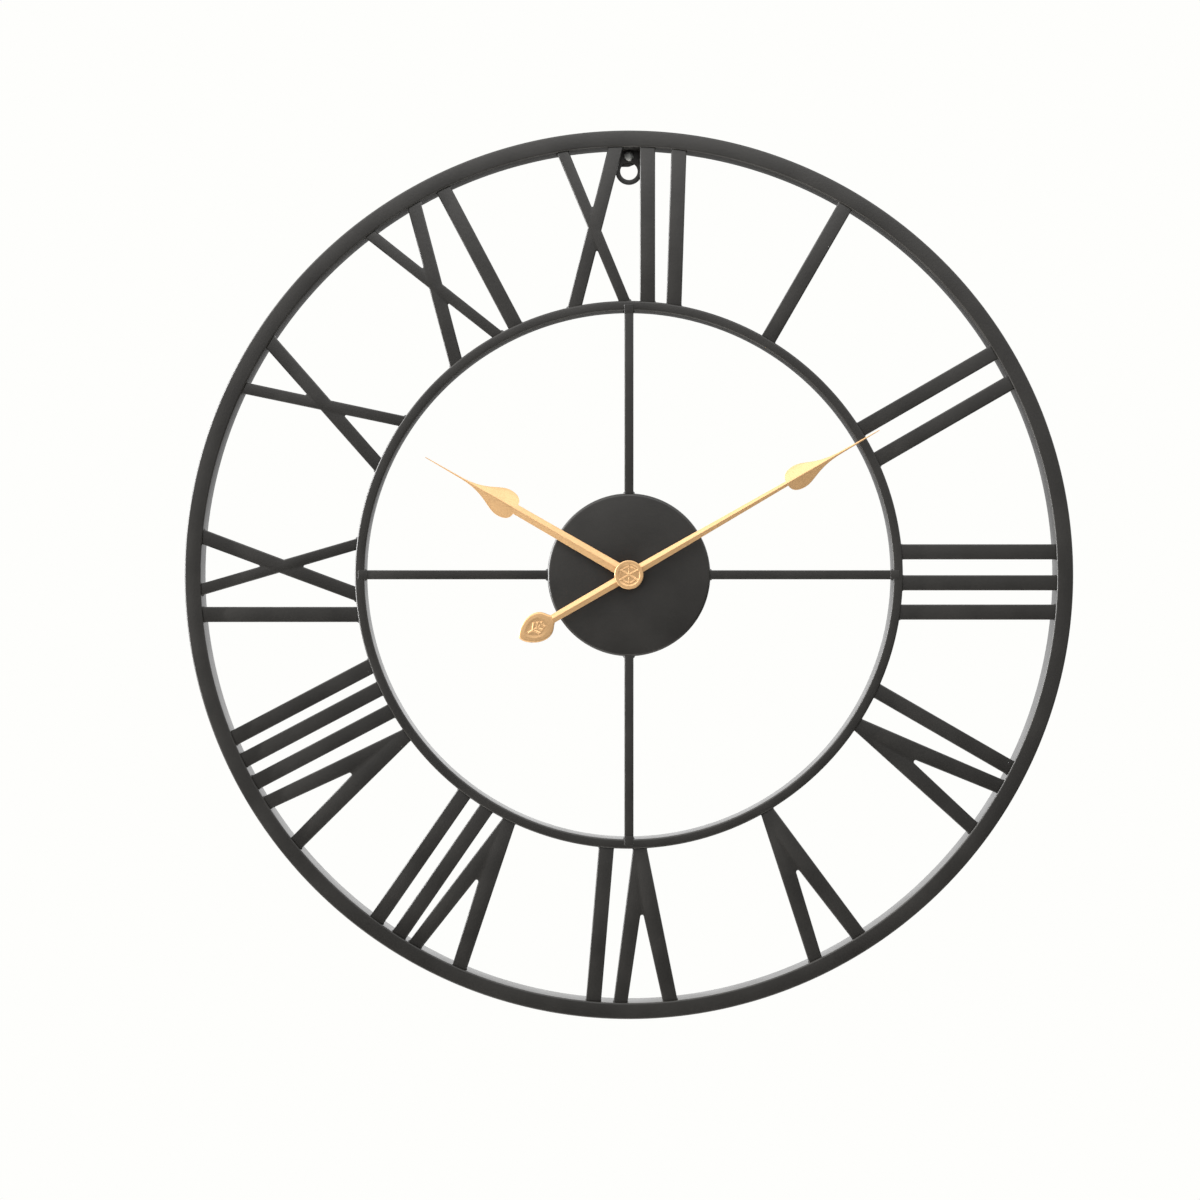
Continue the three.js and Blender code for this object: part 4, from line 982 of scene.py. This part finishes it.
def cap():
    """The die-struck cap over the hands: a raised rim round a rosette."""
    radius = (cap_high.z - cap_low.z) / 2
    front, rear = -cap_low.y, -cap_high.y

    def face(point, share):
        r, angle = share * radius / MM, math.atan2(point.x, point.y) + MINUTE_TURN
        rim_edge = max(0.0, (share - CAP_RIM_START) / (1 - CAP_RIM_START))
        rim = CAP_RIM_FALL * (1 - math.sqrt(max(0.0, 1 - rim_edge * rim_edge)))
        wall = 1 - min(1.0, max(0.0, (r - CAP_FIELD) / CAP_WALL))
        off_spoke = abs(math.sin(ROSETTE_SPOKES / 2 * angle)) * r / (ROSETTE_SPOKES / 2)
        spoke_rib = math.exp(-(off_spoke / ROSETTE_HALF) ** 2) if r > BOSS_CROWN else 1.0
        boss = math.exp(-(r / BOSS_RADIUS) ** 4)
        bead = CAP_BEAD_SHARE * math.exp(-((r - CAP_BEAD) / CAP_BEAD_HALF) ** 2)
        return front - (rim + wall * (CAP_SUNK - CAP_RAISED * max(spoke_rib, boss, bead))) * MM

    return relief(circle(radius, 160), Vector((0, 0)), 56, rear, face, MINUTE_TURN)


hand_in("hand_cap_struck", cap(), GOLD, ["hand_cap"], body="minute")


# ---------- quartz movement ----------
case_low, case_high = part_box("movement_case")
cover_low, cover_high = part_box("movement_cover")
knob_low, knob_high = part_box("set_knob")
contact_low, contact_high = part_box("battery_plus_contact")
spring_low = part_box("battery_spring_contact")[0]
nut_low, nut_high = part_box("mounting_nut")
washer_low, washer_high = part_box("brass_washer")
rubber_low, rubber_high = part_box("rubber_washer")
CASE_HALF = (case_high.x - case_low.x) / 2
CASE_REAR = -case_high.y
STEM_END = -case_low.y
STEM_LENGTH = 7.2 * MM
CASE_FRONT = STEM_END - STEM_LENGTH
CASE_WALL = 1 * MM
CASE_CORNER = 3 * MM
INNER_CORNER = 2 * MM
WALL_BITE = 0.5 * MM                # how far the floor and the partition run into the wall
BAY_FLOOR = 0.8 * MM
BAY_GAP = 1.3 * MM                  # from the cover down to the battery bay
STEM_BORE = 2.7 * MM
THREAD_PITCH = 0.75 * MM
THREAD_DEPTH = 0.35 * MM
THREAD_ROUND = 0.05 * MM
MOULD_EDGE = 0.35 * MM
FINE_EDGE = 0.1 * MM
RAISED = 0.5 * MM                   # height of moulded marks on the cover
ROOTED = 0.2 * MM                   # and how deep they are rooted in it
COVER_REAR = -cover_high.y
bay_top = cover_low.z - AXIS_Z - BAY_GAP


def rectangle(low, high, radius, steps=6):
    """A rectangle between two (along, out) corners, its corners rounded."""
    return rounded([(low[0], low[1], radius), (high[0], low[1], radius),
                    (high[0], high[1], radius), (low[0], high[1], radius)], steps)


def stem_section():
    """The hollow threaded stem: a metric fine thread drawn as its crests and roots."""
    root = STEM_RADIUS - THREAD_DEPTH
    start = CASE_FRONT - BAY_FLOOR / 2
    section = [(STEM_BORE, start, 0), (STEM_RADIUS, start, 0)]
    for k in range(int((STEM_END - CASE_FRONT) / THREAD_PITCH)):
        crest = CASE_FRONT + (k + 0.6) * THREAD_PITCH
        section += [(STEM_RADIUS, crest, THREAD_ROUND), (root, crest + THREAD_PITCH / 2, THREAD_ROUND)]
    return section + [(root, STEM_END, FINE_EDGE), (STEM_BORE, STEM_END, FINE_EDGE)]


def moulded_case():
    """The movement's tray: a wall round the works and the battery, a floor, a partition and its stem."""
    inner = CASE_HALF - CASE_WALL
    reach = inner + WALL_BITE
    wall = rectangle((-CASE_HALF, -CASE_HALF), (CASE_HALF, CASE_HALF), CASE_CORNER)
    cavity = rectangle((-inner, -inner), (inner, inner), INNER_CORNER)
    bottom = rectangle((-reach, -reach), (reach, reach), INNER_CORNER)
    partition = rectangle((-reach, bay_top), (reach, bay_top + CASE_WALL), FINE_EDGE)
    return joined(
        plate(wall, (CASE_REAR, CASE_FRONT), MOULD_EDGE, hole=cavity),
        plate(bottom, (CASE_FRONT - BAY_FLOOR, CASE_FRONT - 0.05 * MM), FINE_EDGE),
        plate(partition, (CASE_REAR + FINE_EDGE, CASE_FRONT - FINE_EDGE), 0.3 * MM),
        rolled(stem_section(), 48, PLASTIC))


hand_in("movement_case_moulded", moulded_case(), PLASTIC, ["movement_case"])

KNOB_RADIUS = 6.5 * MM
KNOB_THICKNESS = 2.1 * MM
KNOB_EDGE = 0.4 * MM
KNOB_SHAFT = 1 * MM
FLUTES, FLUTE_STEPS = 24, 8
FLUTE_DEPTH = 0.7 * MM
PINION_DEPTHS = (14.2 * MM, 15.2 * MM)
PINION_TIP, PINION_ROOT, PINION_TEETH = 2.6 * MM, 2.04 * MM, 12
KNOB_DISH = 4.4 * MM
DISH_FLOOR = (0.6 * MM, 0.1 * MM)   # its back and its front, behind the knob's front edge
BAR_HALF = 0.8 * MM
knob_along = (knob_low.x + knob_high.x) / 2
knob_out = (knob_low.z + knob_high.z) / 2 - AXIS_Z
knob_rear = -knob_high.y

ARROW_RADIUS = 10 * MM
ARROW_START, ARROW_END, ARROW_HEAD = math.radians(-150), math.radians(-70), math.radians(9)
ARROW_HALF, ARROW_HEAD_HALF = 0.4 * MM, 1.2 * MM


def arrow(radius, start, end):
    """A curved arrow round the knob, as an outline: it shows which way the knob sets the time."""
    count = 14
    shaft = [start + (end - ARROW_HEAD - start) * k / count for k in range(count + 1)]

    def at(r, angle):
        return Vector((knob_along + r * math.sin(angle), knob_out + r * math.cos(angle)))

    inner = [at(radius - ARROW_HALF, a) for a in shaft]
    outer = [at(radius + ARROW_HALF, a) for a in reversed(shaft)]
    head = [at(radius - ARROW_HEAD_HALF, shaft[-1]), at(radius, end), at(radius + ARROW_HEAD_HALF, shaft[-1])]
    return inner + head + outer


# The cover's marks, by their (along, out) corners or places.
COVER_CORNER = 1.5 * MM
SURROUND_RADII = (7.4 * MM, 8.4 * MM)
PANEL_LOW, PANEL_HIGH = (6 * MM, -6 * MM), (23 * MM, 3.5 * MM)
PANEL_INNER_LOW, PANEL_INNER_HIGH = (6.8 * MM, -5.2 * MM), (22.2 * MM, 2.7 * MM)
GRIP_RIBS, GRIP_PITCH, GRIP_WIDTH = 6, 2.6 * MM, 1.1 * MM
GRIP_FOOT, GRIP_START, GRIP_END = 9 * MM, 9 * MM, 22 * MM
# The bars of the plus and the minus, as (along, out, width, height) in millimetres.
SIGN_BARS = ((22, -8.4, 3, 0.8), (22, -8.4, 0.8, 3), (-22, -8.4, 3, 0.8))
MARK_EDGE = 0.15 * MM
SNAP_OUTS, SNAP_HALF = (-2 * MM, 18 * MM), 2.5 * MM
SNAP_OVER_CASE, SNAP_OVER_COVER = 0.4 * MM, 1.6 * MM


def moulded_cover():
    """The snap-in rear cover, with its raised marks: surround, arrow, grip ribs, plus, minus, blank panel."""
    low = (cover_low.x, cover_low.z - AXIS_Z)
    high = (cover_high.x, cover_high.z - AXIS_Z)
    marks = (COVER_REAR - RAISED, COVER_REAR + ROOTED)
    within, without = (circle(radius, 64, (knob_along, knob_out)) for radius in SURROUND_RADII)
    parts = [
        plate(rectangle(low, high, COVER_CORNER), (COVER_REAR, -cover_low.y), MOULD_EDGE),
        plate(without, marks, MARK_EDGE, hole=within),
        plate(arrow(ARROW_RADIUS, ARROW_START, ARROW_END), marks, FINE_EDGE),
        plate(rectangle(PANEL_LOW, PANEL_HIGH, 1 * MM), marks, FINE_EDGE,
              hole=rectangle(PANEL_INNER_LOW, PANEL_INNER_HIGH, 0.4 * MM))]
    for k in range(GRIP_RIBS):
        out = GRIP_FOOT + GRIP_PITCH * k
        rib = rectangle((GRIP_START, out), (GRIP_END, out + GRIP_WIDTH), 0.5 * MM)
        parts.append(plate(rib, marks, MARK_EDGE))
    for along, out, wide, tall in SIGN_BARS:
        bar_low = ((along - wide / 2) * MM, (out - tall / 2) * MM)
        bar_high = ((along + wide / 2) * MM, (out + tall / 2) * MM)
        parts.append(plate(rectangle(bar_low, bar_high, 0.2 * MM), marks, FINE_EDGE))
    for side in (-1, 1):
        for out in SNAP_OUTS:
            near, far = sorted((side * (CASE_HALF - SNAP_OVER_CASE), side * (cover_high.x - SNAP_OVER_COVER)))
            snap = rectangle((near, out - SNAP_HALF), (far, out + SNAP_HALF), 0.4 * MM)
            parts.append(plate(snap, (COVER_REAR - MARK_EDGE, COVER_REAR + 1 * MM), MARK_EDGE))
    return joined(*parts)


hand_in("movement_cover_moulded", moulded_cover(), PLASTIC, ["movement_cover"])


def about_knob(radius, angle):
    """A point of an outline about the knob's axis."""
    return Vector((knob_along + radius * math.cos(angle), knob_out + radius * math.sin(angle)))


def fluted_knob():
    """The time-setting knob: flutes round a dished face with a finger bar, on its shaft and pinion."""
    count = FLUTES * FLUTE_STEPS
    grip = []
    for k in range(count):
        angle = math.tau * k / count
        radius = KNOB_RADIUS - FLUTE_DEPTH * (0.5 - 0.5 * math.cos(FLUTES * angle)) ** 2
        grip.append(about_knob(radius, angle))
    front = knob_rear + KNOB_THICKNESS
    centre = (knob_along, knob_out)
    dish = circle(KNOB_DISH + ROOTED, 64, centre)
    bar = rectangle((knob_along - KNOB_DISH, knob_out - BAR_HALF),
                    (knob_along + KNOB_DISH, knob_out + BAR_HALF), 0.3 * MM)
    teeth = [about_knob(PINION_ROOT if k % 2 else PINION_TIP, math.tau * k / (2 * PINION_TEETH))
             for k in range(2 * PINION_TEETH)]
    return joined(
        plate(grip, (knob_rear, front), KNOB_EDGE, hole=circle(KNOB_DISH, count, centre)),
        plate(dish, tuple(front - depth for depth in DISH_FLOOR), FINE_EDGE),
        plate(bar, (knob_rear + FINE_EDGE, front - 0.3 * MM), 0.35 * MM),
        plate(circle(KNOB_SHAFT, 24, centre), (front - 0.5 * MM, -knob_low.y), FINE_EDGE),
        plate(teeth, PINION_DEPTHS, 0.05 * MM))


hand_in("set_knob_fluted", fluted_knob(), NYLON, ["set_knob"], body="set_knob")

# ---------- battery and contacts ----------
BATTERY_RADIUS = 7.25 * MM
BATTERY_OUT = (battery_low.z + battery_high.z) / 2 - AXIS_Z
BATTERY_DEPTH = -(battery_low.y + battery_high.y) / 2
NUB_LENGTH = 1.3 * MM
NUB_RADIUS = 2.75 * MM
FILM_FOLD = 0.4 * MM                # the film's rounded edge at each end
FILM_TURNS = (0.5, 1.05, 1.57)
BOTTOM_RADII = (5.8 * MM, 6.1 * MM)
GROOVE_RADII = (5.6 * MM, 5.4 * MM, 3.3 * MM)
GROOVE_DEPTH = 0.3 * MM


def along_battery(a, b, height):
    """A point about the battery's axis."""
    return Vector((height, -(BATTERY_DEPTH + a), AXIS_Z + BATTERY_OUT + b))


def cell():
    """An AA cell: crimped film over a steel can, an insulating groove and the plus nub."""
    start, end = battery_low.x, battery_high.x - NUB_LENGTH
    fold = FILM_FOLD
    r, tip = BATTERY_RADIUS - fold, end + NUB_LENGTH
    rows = [(BOTTOM_RADII[0], start + 0.25 * MM), (BOTTOM_RADII[1], start), (r, start)]
    rows += [(r + fold * math.sin(t), start + fold - fold * math.cos(t)) for t in FILM_TURNS]
    rows += [(BATTERY_RADIUS, end - fold)]
    rows += [(r + fold * math.cos(t), end - fold + fold * math.sin(t)) for t in FILM_TURNS]
    rows += [(GROOVE_RADII[0], end)] + [(radius, end - GROOVE_DEPTH) for radius in GROOVE_RADII[1:]]
    rows += [(NUB_RADIUS, end + 0.1 * MM), (NUB_RADIUS, tip - 0.4 * MM),
             (NUB_RADIUS - 0.15 * MM, tip - 0.1 * MM), (NUB_RADIUS - 0.45 * MM, tip)]
    return spun(rows, 72, along_battery)


hand_in("battery_cell", cell(), shrunk_cell_label(), ["battery"])

CONTACT_SHEET = 0.5 * MM
CONTACT_HALF = 5 * MM
CONTACT_ROUND, CONTACT_CORNER = 1.5 * MM, 0.2 * MM
contact_depths = (-contact_high.y, -contact_low.y)


def contact_plate(rear_x):
    """A strip of contact sheet standing across the battery's axis, its corners rounded."""
    low, high = contact_depths
    outline = rounded([(low, -CONTACT_HALF, CONTACT_ROUND), (high, -CONTACT_HALF, CONTACT_CORNER),
                       (high, CONTACT_HALF, CONTACT_CORNER), (low, CONTACT_HALF, CONTACT_ROUND)])

    def across_battery(depth, out, x, turn):
        return Vector((x, -depth, AXIS_Z + BATTERY_OUT + out))

    return plate(outline, (rear_x, rear_x + CONTACT_SHEET), FINE_EDGE, place=across_battery)


SPRING_WIRE = 0.28 * MM
SPRING_RADII = (4.8 * MM, 2.6 * MM)
SPRING_GAP = 0.3 * MM


def spring():
    """The conical coil that presses on the cell's flat end."""
    foot = spring_low.x + CONTACT_SHEET
    height = battery_low.x - SPRING_GAP - spring_low.x - CONTACT_SHEET
    coil = grown(COILED_WIRE, bpy.data.meshes.new("spring"), Turns=3.0, Start=SPRING_RADII[0],
                 End=SPRING_RADII[1], Height=height - 2 * SPRING_WIRE, Wire=SPRING_WIRE, Finish=ZINC)
    stand = Matrix.Translation((foot + SPRING_WIRE, -BATTERY_DEPTH, AXIS_Z + BATTERY_OUT))
    return tidied(coil, stand @ Matrix.Rotation(math.pi / 2, 4, "Y"))


hand_in("battery_plus_contact_sheet", contact_plate(contact_low.x),
        ZINC, ["battery_plus_contact"])
hand_in("battery_spring_contact_coil", joined(contact_plate(spring_low.x), spring()), ZINC,
        ["battery_spring_contact"])

# ---------- washers and nut ----------
hand_in("rubber_washer_moulded", rolled(washer_section(
    STEM_HOLE, (rubber_high.x - rubber_low.x) / 2, (-rubber_high.y, -rubber_low.y), 0.4 * MM), 64, RUBBER),
    RUBBER, ["rubber_washer"])
hand_in("brass_washer_turned", rolled(washer_section(
    STEM_HOLE, (washer_high.x - washer_low.x) / 2, (-washer_high.y, -washer_low.y), 0.12 * MM), 64, BRASS),
    BRASS, ["brass_washer"])


NUT_FLATS = 6 * MM                  # from its axis to a flat


def hexagon(angle):
    """The reach of a hexagon in a direction."""
    return NUT_FLATS / math.cos((angle + math.pi / 6) % (math.pi / 3) - math.pi / 6)


def nut():
    """A hexagon nut with its corners chamfered."""
    rear, front = -nut_high.y, -nut_low.y
    corner = NUT_FLATS / math.cos(math.pi / 6)
    rows = [(STEM_HOLE, rear), (corner * 0.95, rear), (corner, rear + 0.25 * MM), (corner, front - 0.4 * MM),
            (corner * 0.93, front - 0.05 * MM), (corner * 0.9, front), (STEM_HOLE, front), (STEM_HOLE, rear)]
    return spun(rows, 96, on_dial, hexagon)


hand_in("mounting_nut_turned", nut(), BRASS, ["mounting_nut"], smooth_degrees=25)

# ---------- floor, light and camera ----------
FLOOR_Z = -1.9
FLOOR_RADIUS = 1.6
CAMERA_BACK = 1.86                  # from the rings' front faces
CAMERA_LENS = 82.7
CAMERA_SHIFT = (-0.0241, -0.0210)


def painted_floor():
    """Pale matt floor paint with the faint stipple of a roller."""
    material, tree, shader, place = new_material("painted_floor")
    stipple = add_node(tree, "ShaderNodeTexNoise", {"Vector": place, "Scale": 1 / (6 * MM), "Detail": 2.0})
    finish(tree, shader, stipple.outputs["Fac"], ("#e6e4df", "#ebe9e4"), stipple.outputs["Fac"], (0.78, 0.84),
           stipple.outputs["Fac"], 0.1 * MM)
    return material


rim = circle(FLOOR_RADIUS, 96)
floor_mesh = bpy.data.meshes.new("floor")
floor_mesh.from_pydata([(p.x, p.y, FLOOR_Z) for p in rim], [], [range(len(rim))])
floor_mesh.materials.append(painted_floor())
floor = bpy.data.objects.new("floor", floor_mesh)
bpy.context.scene.collection.objects.link(floor)


# The studio's brightness before and behind the clock, as (height from -1 down to 1 up, level).
STUDIO_FRONT = ((-1, 0.15), (-0.75, 0.4), (-0.58, 0.4), (-0.45, 0.25), (-0.3, 0.05), (-0.08, 0.2),
                (0.04, 0.8), (0.25, 0.6), (0.5, 0.84), (0.75, 0.95), (1, 0.8))
STUDIO_BACK = ((-1, 0.1), (-0.12, 0.15), (-0.02, 1.0), (0.1, 1.9), (0.25, 2.2), (1, 1.3))


def studio_light():
    """Soft light all round: brighter from above, a little from the left; plain white behind the clock."""
    world = bpy.data.worlds.new("studio")
    world.use_nodes = True
    bpy.context.scene.world = world
    tree = world.node_tree
    tree.nodes.clear()
    toward = add_node(tree, "ShaderNodeTexCoord").outputs["Generated"]
    parts = add_node(tree, "ShaderNodeSeparateXYZ", {"Vector": toward})
    height = add_node(tree, "ShaderNodeMapRange", {
        "Value": parts.outputs["Z"], "From Min": -1.0, "From Max": 1.0})
    halves = []
    for levels in (STUDIO_FRONT, STUDIO_BACK):
        made = add_node(tree, "ShaderNodeValToRGB", {"Fac": height.outputs["Result"]})
        ramp = made.color_ramp
        for element, (position, level) in zip(ramp.elements, (levels[0], levels[-1])):
            element.position, element.color = (position + 1) / 2, (level, level, level, 1)
        for position, level in levels[1:-1]:
            ramp.elements.new((position + 1) / 2).color = (level, level, level, 1)
        halves.append(made.outputs["Color"])
    depth = add_node(tree, "ShaderNodeMapRange", {
        "Value": parts.outputs["Y"], "From Min": -0.2, "From Max": 0.2})
    both = add_node(tree, "ShaderNodeMix", {
        "Factor": depth.outputs["Result"], 6: halves[0], 7: halves[1]}, data_type="RGBA")
    sides = add_node(tree, "ShaderNodeMapRange", {
        "Value": parts.outputs["X"], "From Min": -1.0, "From Max": 1.0, "To Min": 1.3, "To Max": 1.05})
    lit = add_node(tree, "ShaderNodeBackground", {
        "Color": both.outputs[2], "Strength": sides.outputs["Result"]})
    plain = add_node(tree, "ShaderNodeBackground", {"Color": linear("#fefefc"), "Strength": 1.0})
    seen = add_node(tree, "ShaderNodeLightPath")
    shown = add_node(tree, "ShaderNodeMixShader", {
        0: seen.outputs["Is Camera Ray"], 1: lit.outputs[0], 2: plain.outputs[0]})
    add_node(tree, "ShaderNodeOutputWorld", {"Surface": shown.outputs[0]})


def softbox(name, place, target, size, power):
    """A rectangular area light aimed at a point."""
    lamp = bpy.data.lights.new(name, "AREA")
    lamp.shape = "RECTANGLE"
    lamp.size, lamp.size_y = size
    lamp.energy = power
    light = bpy.data.objects.new(name, lamp)
    light.location = place
    light.rotation_euler = (Vector(target) - Vector(place)).to_track_quat("-Z", "Y").to_euler()
    light.visible_camera = False
    bpy.context.scene.collection.objects.link(light)


studio_light()
softbox("key_light", place=(0, -0.8, 0.55), target=(0, 0, AXIS_Z + 0.1), size=(1.6, 0.6), power=8)
softbox("edge_light", place=(-2.2, -0.1, AXIS_Z + 0.35), target=(0, -RING_DEPTH, AXIS_Z),
        size=(0.08, 1.6), power=170)

lens = bpy.data.cameras.new("camera")
lens.sensor_width = 36
lens.lens = CAMERA_LENS
lens.shift_x, lens.shift_y = CAMERA_SHIFT
camera = bpy.data.objects.new("camera", lens)
camera.location = (0, -(RING_DEPTH + CAMERA_BACK), AXIS_Z)
camera.rotation_euler = (math.pi / 2, 0, 0)
bpy.context.scene.collection.objects.link(camera)
bpy.context.scene.camera = camera
bpy.context.scene.view_settings.view_transform = "Standard"
